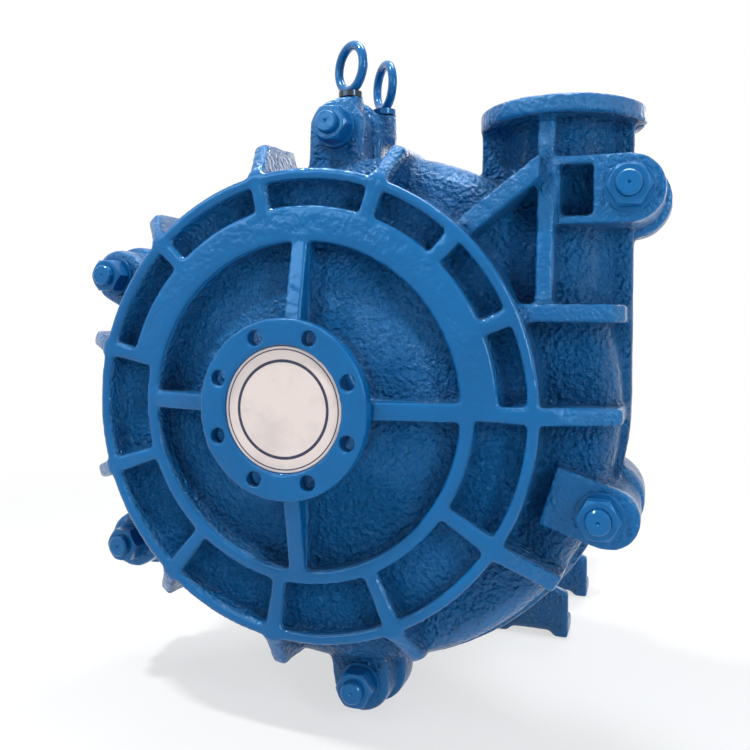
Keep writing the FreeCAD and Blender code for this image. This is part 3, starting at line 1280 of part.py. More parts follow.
def base():
    body = turned("base", [
        (BASE_FACE, BOX_ROOM), (BASE_FACE, HUB_RADIUS), (PLATE_BACK, HUB_RADIUS), (PLATE_BACK, BOX_ROOM),
    ])
    wall = cell("wall")
    inner = cell("wall_inner")
    rail_front = HOUSING_FRONT - 5
    rail_back = REAR_FOOT + FOOT_LENGTH
    under_rail = RAIL_TOP - 22

    side = new_sketch(body, "side_wall", "YZ_Plane", inner)
    polygon(side, [
        (PLATE_BACK - 5, -190), (PLATE_BACK - 5, -70), (PLATE_BACK + 30, -88), (rail_front - 30, -88),
        (rail_front, under_rail), (rail_back, under_rail), (rail_back, GROUND + 10),
        (REAR_FOOT - 20, GROUND + 40), (FRONT_FOOT + FOOT_LENGTH + 20, GROUND + 40),
        (FRONT_FOOT + FOOT_LENGTH, GROUND + 10), (FRONT_FOOT, GROUND + 10), (FRONT_FOOT, -300),
    ])
    mirrored(body, pad(body, side, wall))
    rail = new_sketch(body, "rail", "YZ_Plane", inner - 4)
    polygon(rail, [(rail_front, under_rail), (rail_front, RAIL_TOP), (rail_back, RAIL_TOP),
                   (rail_back, under_rail)])
    mirrored(body, pad(body, rail, wall + 16))
    for name, front, half in (("front_foot", FRONT_FOOT, cell("foot_half")),
                              ("rear_foot", REAR_FOOT, cell("rear_foot_half"))):
        sole = new_sketch(body, name + "_sole", "XZ_Plane", -front)
        arch_in, arch_out = half - 105, half - 25
        arch = GROUND + cell("foot_arch")
        polygon(sole, [
            (-half, GROUND), (-arch_out, GROUND), (-arch_out + 6, arch), (-arch_in - 6, arch),
            (-arch_in, GROUND), (arch_in, GROUND), (arch_in + 6, arch), (arch_out - 6, arch),
            (arch_out, GROUND), (half, GROUND), (half, GROUND + SOLE), (-half, GROUND + SOLE),
        ])
        pad(body, sole, FOOT_LENGTH, reverse=True)
        web = new_sketch(body, name + "_web", "XZ_Plane", -front)
        polygon(web, [(-half, GROUND + SOLE - 1), (half, GROUND + SOLE - 1), (half, FOOT_TOP),
                      (inner + wall, FOOT_TOP + 60), (-inner - wall, FOOT_TOP + 60), (-half, FOOT_TOP)])
        pad(body, web, FOOT_WEB, reverse=True)
    for name, front in (("front_saddle", HOUSING_FRONT + 24 + TRAVEL + 4), ("rear_saddle", REAR_FOOT + 4)):
        saddle = new_sketch(body, name, "XZ_Plane", -front)
        polygon(saddle, [(-inner - 5, GROUND + SOLE - 2), (inner + 5, GROUND + SOLE - 2),
                         (inner + 5, RAIL_TOP - 6), (-inner - 5, RAIL_TOP - 6)])
        pad(body, saddle, SADDLE, reverse=True)
    cradle = new_sketch(body, "cradle", "XZ_Plane", -(HOUSING_FRONT + 25))
    circle(cradle, 0, 0, cell("housing_radius") + CLEAR * 3)
    pocket(body, cradle, HOUSING_BACK - 25 - (HOUSING_FRONT + 25))
    screw_hole = new_sketch(body, "base_screw_hole", "XZ_Plane", -(REAR_FOOT + 2))
    circle(screw_hole, 0, SCREW_Z, SCREW + 1)
    pocket(body, screw_hole, SADDLE + 4)
    bolts = new_sketch(body, "foot_holes", "XY_Plane", GROUND - 1)
    for front in (FRONT_FOOT, REAR_FOOT):
        for direction in (-1, 1):
            circle(bolts, cell("foot_bolt_x") * direction, front + FOOT_LENGTH - 22, cell("foot_bolt"))
    pocket(body, bolts, SOLE + 2, reverse=True)
    taps = new_sketch(body, "clamp_taps", "XY_Plane", RAIL_TOP)
    for y in CLAMP_YS:
        for direction in (-1, 1):
            circle(taps, CLAMP_X * direction, y, STUD + FIT)
    pocket(body, taps, 32)
    joints = new_sketch(body, "base_stud_holes", "XZ_Plane", -(BASE_FACE - 1))
    reach = cell("base_pcd") / 2
    circle(joints, reach * cosine(22.5), reach * sine(22.5), cell("base_stud") + FIT)
    around(body, pocket(body, joints, cell("front_plate") + 2), 8)
    return keep(body)


# ---------------------------------------------------------------------------------------------
# Fasteners
# ---------------------------------------------------------------------------------------------
def nut(name, x, y, z, across, thread, depth, axis="y"):
    """A hexagon nut with its bore, on a stud along Y or Z."""
    blank = hexagon(name + "_blank", x, y, z, across, depth, axis)
    if axis == "y":
        hole = cylinder(name + "_hole", x, size(y) - 1, z, thread + FIT, size(depth) + 2, axis)
    else:
        hole = cylinder(name + "_hole", x, y, size(z) - 1, thread + FIT, size(depth) + 2, axis)
    return cut(name, blank, hole)


def washer(name, x, y, z, outer, inner, depth):
    disc = cylinder(name + "_disc", x, y, z, outer, depth)
    hole = cylinder(name + "_hole", x, size(y) - 1, z, inner, size(depth) + 2)
    return cut(name, disc, hole)


def casing_fasteners():
    """Through studs of the casing with a washer and a nut at both ends."""
    radius = cell("stud_radius")
    depth, washer_radius = 5, 29
    nut_depth, nut_width = 24, 46
    tail = 9
    studs, nuts, washers = [], [], []
    for index, (x, z, near, far) in enumerate(STUDS):
        front = PARTING - near
        back = PARTING + far
        start = front - depth - nut_depth - tail
        studs.append(cylinder("casing_stud_%d" % index, x, start, z, radius,
                              (back - front) + (depth + nut_depth + tail) * 2))
        for side, seat, end in (("front", front - depth, front - depth - nut_depth),
                                ("back", back, back + depth)):
            name = "%s_%d" % (side, index)
            washers.append(washer("washer_" + name, x, seat, z, washer_radius, radius + FIT, depth))
            nuts.append(nut("nut_" + name, x, end, z, nut_width, radius, nut_depth))
    keep(group("casing_studs", studs))
    keep(group("casing_nuts", nuts))
    keep(group("casing_washers", washers))


def base_fasteners():
    """Studs from the frame plate through the front plate of the base."""
    reach = cell("base_pcd") / 2
    radius = cell("base_stud")
    sunk, proud = 32, 52
    studs, nuts = [], []
    for index in range(8):
        angle = 22.5 + 45 * index
        x, z = reach * cosine(angle), reach * sine(angle)
        studs.append(cylinder("base_stud_%d" % index, x, BASE_FACE - sunk, z, radius, sunk + proud))
        nuts.append(nut("base_nut_%d" % index, x, PLATE_BACK, z, 30, radius, 16))
    keep(group("base_studs", studs))
    keep(group("base_nuts", nuts))


def clamp_fasteners():
    """Studs, washers and nuts that clamp the wings of the bearing housing to the rails."""
    sunk, proud = 30, 36
    width, length, depth = 38, 52, 9
    studs, nuts, washers = [], [], []
    for row, y in enumerate(CLAMP_YS):
        for direction in (-1, 1):
            name = "clamp_%d_%s" % (row, "left" if direction < 0 else "right")
            x = CLAMP_X * direction
            studs.append(cylinder(name + "_stud", x, y, RAIL_TOP - sunk, STUD, sunk - RAIL_TOP + proud, "z"))
            plate = box(name + "_plate", x - width / 2, y - length / 2, 0, width, length, depth)
            hole = cylinder(name + "_plate_hole", x, y, -1, STUD + FIT, depth + 2, "z")
            washers.append(cut(name + "_washer", plate, hole))
            nuts.append(nut(name + "_nut", x, y, depth, 30, STUD, 16, "z"))
    keep(group("clamp_studs", studs))
    keep(group("clamp_washers", washers))
    keep(group("clamp_nuts", nuts))


def adjusting_nuts():
    """The two nuts that hold the adjusting screw to the rear saddle of the base."""
    front = REAR_FOOT + 4
    nuts = []
    depth = 16
    for name, start in (("front", front - depth), ("back", front + SADDLE)):
        blank = hexagon("adjust_%s_blank" % name, 0, start, SCREW_Z, 30, depth)
        hole = cylinder("adjust_%s_hole" % name, 0, start - 1, SCREW_Z, SCREW + CLEAR, depth + 2)
        nuts.append(cut("adjust_%s" % name, blank, hole))
    keep(group("adjusting_nuts", nuts))


def eyebolt(label, place, turn):
    """A ring on a round collar that stands on its boss."""
    x, y, seat = place
    ring_shape = doc.addObject("Part::Torus", label + "_ring")
    bind(ring_shape, "Radius1", cell("eye_ring"))
    bind(ring_shape, "Radius2", cell("eye_wire"))
    ring_shape.Placement = Placement(Vector(0, 0, 0), Rotation(Vector(0, 0, 1), turn)
                                     * Rotation(Vector(1, 0, 0), 90))
    sunk = 3
    lift = seat + cell("eye_collar_depth") + cell("eye_ring") + cell("eye_wire") - sunk
    set_base(ring_shape, x, y, lift)
    collar = cylinder(label + "_collar", x, y, seat, cell("eye_collar"), cell("eye_collar_depth"), "z")
    return keep(fuse(label, [ring_shape, collar]))


cover_plate()
frame_plate()
volute_liner()
throatbush()
back_liner()
impeller()
joint_rings()
suction_cover()
stuffing_box()
packing()
gland()
shaft()
rotor_rings()
bearings()
bearing_housing()
end_covers()
base()
casing_fasteners()
base_fasteners()
clamp_fasteners()
adjusting_nuts()
eyebolt("eyebolt_front", EYE_FRONT, -36)
eyebolt("eyebolt_rear", EYE_REAR, -50)


doc.recompute()
problems = []
for thing in doc.Objects:
    if "Invalid" in thing.State or "Error" in thing.State:
        problems.append("%s: %s" % (thing.Name, thing.State))
for node in nodes:
    if node.Shape.isNull() or not node.Shape.isValid():
        problems.append("%s has no valid shape" % node.Label)
if problems:
    raise RuntimeError("; ".join(problems))
os.makedirs("parts", exist_ok=True)
for node in nodes:
    node.Shape.exportStep("parts/%s.step" % node.Label)
    print(node.Label, len(node.Shape.Solids), round(node.Shape.Volume / 1000), "cm3", node.Shape.BoundBox)
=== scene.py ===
import json
import math

import bmesh
import bpy
import numpy as np
from mathutils import Matrix, Vector


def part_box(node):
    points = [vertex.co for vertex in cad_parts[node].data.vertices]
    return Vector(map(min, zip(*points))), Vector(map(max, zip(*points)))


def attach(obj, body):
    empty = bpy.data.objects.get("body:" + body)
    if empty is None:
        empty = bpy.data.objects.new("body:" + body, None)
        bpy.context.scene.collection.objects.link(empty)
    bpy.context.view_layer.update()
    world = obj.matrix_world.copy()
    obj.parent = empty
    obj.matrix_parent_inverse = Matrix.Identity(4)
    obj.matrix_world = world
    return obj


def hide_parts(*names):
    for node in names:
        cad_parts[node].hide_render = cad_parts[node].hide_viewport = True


bl_info = {
    "name": "Slurry Pump Finish",
    "version": (1, 0, 0),
    "blender": (4, 5, 0),
    "location": "View3D > Sidebar > Slurry Pump",
    "description": "Finishes the castings, fasteners and wear parts of a lined slurry pump",
    "category": "Object",
}

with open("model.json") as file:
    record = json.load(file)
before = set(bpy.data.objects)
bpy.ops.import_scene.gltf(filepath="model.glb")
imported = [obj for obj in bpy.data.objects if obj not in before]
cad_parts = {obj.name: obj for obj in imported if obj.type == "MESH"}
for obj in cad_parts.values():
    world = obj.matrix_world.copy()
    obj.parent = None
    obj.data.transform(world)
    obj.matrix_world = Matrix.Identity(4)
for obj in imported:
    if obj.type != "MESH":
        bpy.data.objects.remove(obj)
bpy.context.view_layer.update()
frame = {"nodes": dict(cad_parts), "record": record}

CASTINGS = ("cover_plate", "frame_plate", "base", "bearing_housing")
PAINTED = ("end_cover_front", "end_cover_rear", "end_cover_bolts", "base_studs", "base_nuts",
           "clamp_studs", "clamp_washers", "clamp_nuts",
           "stuffing_box", "gland", "adjusting_screw", "adjusting_nuts")
WEAR_PARTS = ("volute_liner", "throatbush", "back_liner", "impeller")
SEALS = ("intake_joint", "discharge_joint")
STEEL_PARTS = ("shaft", "shaft_key", "shaft_sleeve", "release_collar", "labyrinth_front", "labyrinth_rear",
               "bearing_outer_front", "bearing_inner_front", "rollers_front", "bearing_outer_rear",
               "bearing_inner_rear", "rollers_rear", "gland_studs", "gland_nuts")


# ---------------------------------------------------------------------------------------------
# Settings
# ---------------------------------------------------------------------------------------------
class PumpFinish(bpy.types.PropertyGroup):
    enamel: bpy.props.FloatVectorProperty(
        name="Enamel", description="Colour of the blue enamel", default=(0.0016, 0.108, 0.315),
        size=3, subtype="COLOR", min=0, max=1)
    # Darker enamel: mixed in at random as tone, and as painted shade in concave corners, in the flange holes and
    # over the whole base; the low points of the skin also take some of it.
    enamel_shade: bpy.props.FloatVectorProperty(
        name="Enamel shade", description="Colour of the enamel where it lies thick in the hollows",
        default=(0.0010, 0.052, 0.172), size=3, subtype="COLOR", min=0, max=1)
    voxel: bpy.props.FloatProperty(
        name="Casting grain", description="Size of the cells that round the castings' corners",
        default=0.0028, min=0.001, unit="LENGTH")
    lumps: bpy.props.FloatProperty(
        name="Lumps", description="Height of the uneven skin of the castings", default=0.0010,
        min=0, unit="LENGTH")
    faces: bpy.props.IntProperty(
        name="Faces", description="Most triangles that a casting keeps", default=190000, min=1000)
    chamfer: bpy.props.FloatProperty(
        name="Chamfer", description="Depth of the chamfer at the corners of the nuts", default=0.0036,
        min=0, unit="LENGTH")
    drill: bpy.props.FloatProperty(
        name="Centre drill", description="Radius of the centre mark in the stud ends", default=0.0027,
        min=0, unit="LENGTH")


class DiscFinish(bpy.types.PropertyGroup):
    sheet: bpy.props.FloatVectorProperty(
        name="Sheet", description="Colour of the suction cover", default=(0.70, 0.61, 0.575),
        size=3, subtype="COLOR", min=0, max=1)
    ink: bpy.props.FloatVectorProperty(
        name="Ink", description="Colour of the rings printed on it", default=(0.006, 0.012, 0.05),
        size=3, subtype="COLOR", min=0, max=1)
    ring_radius: bpy.props.FloatProperty(
        name="Ring radius", description="Mean radius of the broad ring", default=0.0603,
        min=0, unit="LENGTH")
    ring_width: bpy.props.FloatProperty(
        name="Ring width", description="Half the width of the broad ring", default=0.0019,
        min=0, unit="LENGTH")
    line_radius: bpy.props.FloatProperty(
        name="Line radius", description="Radius of the thin line near the edge", default=0.0747,
        min=0, unit="LENGTH")


# ---------------------------------------------------------------------------------------------
# Node helpers
# ---------------------------------------------------------------------------------------------
def socket(group, name, kind, way, value=None):
    made = group.interface.new_socket(name=name, in_out=way, socket_type="NodeSocket" + kind)
    if value is not None:
        made.default_value = value
    return made


def add(tree, kind, **values):
    """A node with its properties and its unlinked inputs set."""
    made = tree.nodes.new("ShaderNode" + kind)
    for name, value in values.items():
        if name.startswith("in_"):
            made.inputs[int(name[3:]) if name[3:].isdigit() else name[3:].replace("_", " ")].default_value = value
        else:
            setattr(made, name, value)
    return made


def maths(tree, operation, first, second=None, third=None):
    made = tree.nodes.new("ShaderNodeMath")
    made.operation = operation
    for index, value in enumerate((first, second, third)):
        if value is None:
            continue
        if isinstance(value, (int, float)):
            made.inputs[index].default_value = value
        else:
            tree.links.new(value, made.inputs[index])
    return made.outputs[0]


def span(tree, value, low, high, start=0.0, end=1.0):
    """A smooth step of a value between two limits."""
    made = tree.nodes.new("ShaderNodeMapRange")
    made.interpolation_type = "SMOOTHSTEP"
    tree.links.new(value, made.inputs["Value"])
    made.inputs["From Min"].default_value = low
    made.inputs["From Max"].default_value = high
    made.inputs["To Min"].default_value = start
    made.inputs["To Max"].default_value = end
    return made.outputs["Result"]


def blend_colour(tree, factor, first, second):
    made = tree.nodes.new("ShaderNodeMix")
    made.data_type = "RGBA"
    tree.links.new(factor, made.inputs[0])
    for index, value in ((6, first), (7, second)):
        if isinstance(value, bpy.types.NodeSocket):
            tree.links.new(value, made.inputs[index])
        else:
            made.inputs[index].default_value = (*value[:3], 1)
    return made.outputs[2]


def noise(tree, vector, scale, detail=3, roughness=0.5):
    made = add(tree, "TexNoise", in_Scale=scale, in_Detail=detail, in_Roughness=roughness)
    tree.links.new(vector, made.inputs["Vector"])
    return made.outputs["Fac"]


# ---------------------------------------------------------------------------------------------
# Shared effects
# ---------------------------------------------------------------------------------------------
def cast_skin_group():
    """Sand-cast skin under paint: shallow waves, grains and pits, stronger where Rough is 1."""
    group = bpy.data.node_groups.new("cast_skin", "ShaderNodeTree")
    socket(group, "Vector", "Vector", "INPUT")
    socket(group, "Rough", "Float", "INPUT", 1.0)
    socket(group, "Height", "Float", "OUTPUT")
    socket(group, "Hollows", "Float", "OUTPUT")
    ends = group.nodes.new("NodeGroupInput")
    out = group.nodes.new("NodeGroupOutput")
    vector = ends.outputs["Vector"]
    waves = noise(group, vector, 30, 2)
    lumps = span(group, noise(group, vector, 120, 4, 0.6), 0.30, 0.70)
    crumbs = add(group, "TexVoronoi", feature="SMOOTH_F1", in_Scale=165, in_Smoothness=0.55)
    group.links.new(vector, crumbs.inputs["Vector"])
    grains = noise(group, vector, 380, 3, 0.7)
    patches = span(group, noise(group, vector, 9, 2), 0.36, 0.60, 0.55, 1.0)
    strength = maths(group, "MULTIPLY", ends.outputs["Rough"], patches)
    coarse = maths(group, "MULTIPLY_ADD", crumbs.outputs["Distance"], 1.15, maths(group, "MULTIPLY", lumps, 0.95))
    fine = maths(group, "MULTIPLY_ADD", grains, 0.42, coarse)
    rough = maths(group, "MULTIPLY", fine, strength)
    group.links.new(maths(group, "MULTIPLY_ADD", waves, 0.55, rough), out.inputs["Height"])
    low = maths(group, "SUBTRACT", 1.0, lumps)
    group.links.new(maths(group, "MULTIPLY", low, strength), out.inputs["Hollows"])
    return group


def wear_group():
    """Chips along edges and a thin film of dust on faces that look up."""
    group = bpy.data.node_groups.new("wear", "ShaderNodeTree")
    socket(group, "Vector", "Vector", "INPUT")
    socket(group, "Amount", "Float", "INPUT", 0.5)
    socket(group, "Chips", "Float", "OUTPUT")
    socket(group, "Dust", "Float", "OUTPUT")
    ends = group.nodes.new("NodeGroupInput")
    out = group.nodes.new("NodeGroupOutput")
    geometry = group.nodes.new("ShaderNodeNewGeometry")
    edges = span(group, geometry.outputs["Pointiness"], 0.53, 0.60)
    broken = span(group, noise(group, ends.outputs["Vector"], 75, 4, 0.6), 0.60, 0.68)
    chips = maths(group, "MULTIPLY", maths(group, "MULTIPLY", edges, broken), ends.outputs["Amount"])
    group.links.new(chips, out.inputs["Chips"])
    split = group.nodes.new("ShaderNodeSeparateXYZ")
    group.links.new(geometry.outputs["Normal"], split.inputs[0])
    up = span(group, split.outputs["Z"], 0.3, 0.95)
    film = span(group, noise(group, ends.outputs["Vector"], 34, 3), 0.40, 0.66)
    group.links.new(maths(group, "MULTIPLY", up, film), out.inputs["Dust"])
    return group


def use(tree, group, vector, **values):
    made = tree.nodes.new("ShaderNodeGroup")
    made.node_tree = bpy.data.node_groups[group]
    tree.links.new(vector, made.inputs["Vector"])
    for name, value in values.items():
        if isinstance(value, (int, float)):
            made.inputs[name].default_value = value
        else:
            tree.links.new(value, made.inputs[name])
    return made


def new_material(name, **inputs):
    """A material with its Principled shader, tree and object coordinates."""
    material = bpy.data.materials.new(name)
    material.use_nodes = True
    tree = material.node_tree
    shader = tree.nodes["Principled BSDF"]
    for key, value in inputs.items():
        shader.inputs[key.replace("_", " ")].default_value = value
    place = tree.nodes.new("ShaderNodeTexCoord").outputs["Object"]
    return material, tree, shader, place


def raise_skin(tree, shader, height, distance, strength=1.0):
    bump = add(tree, "Bump", in_Strength=strength, in_Distance=distance)
    tree.links.new(height, bump.inputs["Height"])
    tree.links.new(bump.outputs["Normal"], shader.inputs["Normal"])
    tree.links.new(bump.outputs["Normal"], shader.inputs["Coat Normal"])


# ---------------------------------------------------------------------------------------------
# Materials
# ---------------------------------------------------------------------------------------------
def hole_shadow(tree, place, circle, radius, count, depth):
    """1 in a ring of holes about the shaft, from near the front face to a depth, and behind them."""
    split = tree.nodes.new("ShaderNodeSeparateXYZ")
    tree.links.new(place, split.inputs[0])
    x, y, z = (split.outputs[axis] for axis in "XYZ")
    reach = maths(tree, "SQRT", maths(tree, "ADD", maths(tree, "MULTIPLY", x, x), maths(tree, "MULTIPLY", z, z)))
    pitch = math.tau / count
    turn = maths(tree, "PINGPONG", maths(tree, "ARCTAN2", z, x), pitch / 2)
    across = maths(tree, "MULTIPLY", maths(tree, "SUBTRACT", pitch / 2, turn), circle)
    beside = maths(tree, "SUBTRACT", reach, circle)
    away = maths(tree, "SQRT", maths(tree, "ADD", maths(tree, "MULTIPLY", across, across),
                                     maths(tree, "MULTIPLY", beside, beside)))
    inside = span(tree, away, radius, radius + 0.0012, 1.0, 0.0)
    entered = span(tree, y, 0.0005, 0.0030)
    short = span(tree, y, depth, depth + 0.002, 1.0, 0.0)
    holes = maths(tree, "MULTIPLY", maths(tree, "MULTIPLY", inside, entered), short)
    sheltered = span(tree, reach, circle + radius, circle + radius * 2.2, 0.9, 0.0)
    behind = maths(tree, "MULTIPLY", sheltered, span(tree, y, depth + 0.002, depth + 0.006))
    return maths(tree, "MAXIMUM", holes, behind)


def enamel(name, finish, distance, chip, plain_front=-1.0, cast=True, depth=0.0):
    """Thick glossy enamel. On a casting its skin is rough in the hollows and smooth on ridges,
    and also smooth on the faces in front of plain_front. depth is the least share of the darker enamel
    over the whole piece, painted shade that darkens all of it."""
    material, tree, shader, place = new_material(
        name, IOR=1.5, Specular_IOR_Level=0.75, Specular_Tint=(0.16, 0.46, 0.78, 1),
        Coat_Weight=0.20, Coat_Roughness=0.05)
    if cast:
        ridge = add(tree, "Attribute", attribute_name="ridge").outputs["Fac"]
        split = tree.nodes.new("ShaderNodeSeparateXYZ")
        tree.links.new(place, split.inputs[0])
        deep = span(tree, split.outputs["Y"], plain_front, plain_front + 0.010, 0.14, 1.0)
        open_floor = span(tree, ridge, 0.0028, 0.0055, 1.0, 0.22)
        rough = maths(tree, "MULTIPLY", deep, open_floor)
        # Painted shade: darker enamel in concave corners, where the surface lies below its smoothed surroundings.
        painted_shade = span(tree, ridge, -0.0075, -0.0005, 0.55, 0.0)
    else:
        rough = 0.12
        painted_shade = 0.0
    if plain_front > 0:
        # Painted shade in the flange bolt holes and on the casting just behind the flange.
        painted_shade = maths(tree, "MAXIMUM", painted_shade, hole_shadow(tree, place, *FLANGE_HOLES))
    skin = use(tree, "cast_skin", place, Rough=rough)
    wear = use(tree, "wear", place, Amount=chip)
    # tone varies the darker enamel at random; depth raises it over the whole piece as painted shade.
    tone = span(tree, noise(tree, place, 7, 3), 0.30, 0.72, depth, depth + 0.30)
    # Mixes the random tone, darker enamel in the low points of the skin, and the painted shade of corners and
    # holes.
    tone_and_shade = maths(tree, "MAXIMUM", tone, maths(tree, "MULTIPLY", skin.outputs["Hollows"], 0.45))
    tone_and_shade = maths(tree, "MAXIMUM", tone_and_shade, painted_shade)
    paint = blend_colour(tree, tone_and_shade, finish.enamel, finish.enamel_shade)
    dusty = blend_colour(tree, maths(tree, "MULTIPLY", wear.outputs["Dust"], 0.10), paint, (0.16, 0.22, 0.28))
    colour = blend_colour(tree, wear.outputs["Chips"], dusty, (0.05, 0.045, 0.04))
    tree.links.new(colour, shader.inputs["Base Color"])
    gloss = span(tree, noise(tree, place, 60, 3), 0.3, 0.7, 0.12, 0.24)
    tree.links.new(maths(tree, "MAXIMUM", gloss, maths(tree, "MULTIPLY", wear.outputs["Chips"], 0.7)),
                   shader.inputs["Roughness"])
    raise_skin(tree, shader, skin.outputs["Height"], distance)
    return material


def eyebolt_paint(finish, seat):
    """The same enamel on a ring, bare and dark on the collar just above its seat."""
    material = enamel("enamel_eyebolt_%d" % round(seat * 1000), finish, 0.0006, 0.5, cast=False)
    tree = material.node_tree
    shader = tree.nodes["Principled BSDF"]
    place = tree.nodes.new("ShaderNodeTexCoord").outputs["Object"]
    split = tree.nodes.new("ShaderNodeSeparateXYZ")
    tree.links.new(place, split.inputs[0])
    ragged = maths(tree, "MULTIPLY_ADD", noise(tree, place, 160, 3), 0.006, split.outputs["Z"])
    bare = span(tree, ragged, seat + 0.0105, seat + 0.0125, 1.0, 0.0)
    painted = shader.inputs["Base Color"].links[0].from_socket
    tree.links.new(blend_colour(tree, bare, painted, (0.030, 0.024, 0.022)), shader.inputs["Base Color"])
    return material


def bare_metal(name, base, low, high, grain, metallic=1.0, bump=0.0002):
    """Metal with a mottled tone and gloss and a fine skin."""
    material, tree, shader, place = new_material(name, Metallic=metallic)
    mottle = span(tree, noise(tree, place, grain, 4, 0.6), 0.3, 0.7)
    darker = tuple(value * 0.62 for value in base)
    tree.links.new(blend_colour(tree, mottle, darker, base), shader.inputs["Base Color"])
    tree.links.new(span(tree, noise(tree, place, grain * 2.3, 3), 0.3, 0.7, low, high), shader.inputs["Roughness"])
    raise_skin(tree, shader, noise(tree, place, grain * 6, 4, 0.6), bump)
    return material


def turned_metal(name, base, low, high):
    """Turned metal: fine tool lines round the shaft axis."""
    material, tree, shader, place = new_material(name, Metallic=1.0)
    lines = add(tree, "TexWave", wave_type="BANDS", bands_direction="Y", in_Scale=420, in_Distortion=0.6)
    tree.links.new(place, lines.inputs["Vector"])
    mottle = span(tree, noise(tree, place, 40, 3), 0.3, 0.7)
    tree.links.new(blend_colour(tree, mottle, tuple(value * 0.75 for value in base), base),
                   shader.inputs["Base Color"])
    tree.links.new(span(tree, lines.outputs["Fac"], 0.0, 1.0, low, high), shader.inputs["Roughness"])
    raise_skin(tree, shader, lines.outputs["Fac"], 0.00004)
    return material


def rubber():
    material, tree, shader, place = new_material("rubber", Specular_IOR_Level=0.35)
    dusty = span(tree, noise(tree, place, 55, 4), 0.42, 0.72, 0.0, 0.5)
    tree.links.new(blend_colour(tree, dusty, (0.012, 0.012, 0.014), (0.06, 0.06, 0.062)),
                   shader.inputs["Base Color"])
    tree.links.new(span(tree, noise(tree, place, 90, 3), 0.3, 0.7, 0.62, 0.82), shader.inputs["Roughness"])
    raise_skin(tree, shader, noise(tree, place, 700, 3), 0.0001)
    return material


def braid():
    """Greased square braid of the packing rings."""
    material, tree, shader, place = new_material("braid")
    strands = add(tree, "TexChecker", in_Scale=420)
    tree.links.new(place, strands.inputs["Vector"])
    grease = span(tree, noise(tree, place, 90, 3), 0.35, 0.65)
    tone = blend_colour(tree, strands.outputs["Fac"], (0.30, 0.26, 0.18), (0.46, 0.41, 0.30))
    tree.links.new(blend_colour(tree, grease, tone, (0.10, 0.085, 0.06)), shader.inputs["Base Color"])
    tree.links.new(span(tree, grease, 0.0, 1.0, 0.8, 0.35), shader.inputs["Roughness"])
    raise_skin(tree, shader, strands.outputs["Fac"], 0.0004)
    return material


def cover_sheet(disc):
    """White sheet with a thin line and a broad ring round the shaft axis."""
    material, tree, shader, place = new_material("cover_sheet", Coat_Weight=0.25, Coat_Roughness=0.2)
    split = tree.nodes.new("ShaderNodeSeparateXYZ")
    tree.links.new(place, split.inputs[0])
    across = maths(tree, "MULTIPLY", split.outputs["X"], split.outputs["X"])
    upward = maths(tree, "MULTIPLY", split.outputs["Z"], split.outputs["Z"])
    radius = maths(tree, "SQRT", maths(tree, "ADD", across, upward))
    blur = 0.0003
    masks = []
    for centre, half in ((disc.ring_radius, disc.ring_width), (disc.line_radius, 0.0008)):
        away = maths(tree, "ABSOLUTE", maths(tree, "SUBTRACT", radius, centre))
        masks.append(span(tree, away, half - blur, half + blur, 1.0, 0.0))
    printed = maths(tree, "MAXIMUM", *masks)
    faded = maths(tree, "MULTIPLY", printed, span(tree, noise(tree, place, 130, 4), 0.2, 0.45, 0.82, 1.0))
    stains = span(tree, noise(tree, place, 22, 4, 0.6), 0.45, 0.75, 0.0, 0.45)
    sheet = blend_colour(tree, stains, disc.sheet, (0.50, 0.43, 0.41))
    tree.links.new(blend_colour(tree, faded, sheet, disc.ink), shader.inputs["Base Color"])
    tree.links.new(span(tree, noise(tree, place, 48, 3), 0.3, 0.7, 0.36, 0.52), shader.inputs["Roughness"])
    raise_skin(tree, shader, noise(tree, place, 30, 2), 0.0004)
    return material


def dress(node, material):
    """Gives a CAD node its finish."""
    piece = frame["nodes"][node]
    if not piece.data.materials:
        piece.data.materials.append(material)
    for place in piece.material_slots:
        place.material = material


# ---------------------------------------------------------------------------------------------
# Castings
# ---------------------------------------------------------------------------------------------
RIDGE_ROUNDS = 44
OUTER_RIBS = (0.313, 0.150, 0.200)
FLANGE_HOLES = (0.09525, 0.0095, 8, 0.019)
EYE_HEIGHT = 0.080


def body_of(node):
    return next(name for name, nodes in frame["record"]["behaviour"]["bodies"].items() if node in nodes)


def mark_ridges(mesh, rounds):
    """Stores how far each point stands above the smoothed surface round it."""
    count = len(mesh.vertices)
    points = np.empty(count * 3)
    normals = np.empty(count * 3)
    mesh.vertices.foreach_get("co", points)
    mesh.vertices.foreach_get("normal", normals)
    points, normals = points.reshape(-1, 3), normals.reshape(-1, 3)
    edges = np.empty(len(mesh.edges) * 2, dtype=np.int64)
    mesh.edges.foreach_get("vertices", edges)
    first, second = edges.reshape(-1, 2).T
    degree = np.bincount(first, minlength=count) + np.bincount(second, minlength=count)
    soft = points.copy()
    for _ in range(rounds):
        for axis in range(3):
            column = soft[:, axis].copy()
            total = np.bincount(first, column[second], count) + np.bincount(second, column[first], count)
            soft[:, axis] = total / degree
    rise = ((points - soft) * normals).sum(axis=1)
    marks = mesh.attributes.new("ridge", "FLOAT", "POINT")
    marks.data.foreach_set("value", rise.astype(np.float32))


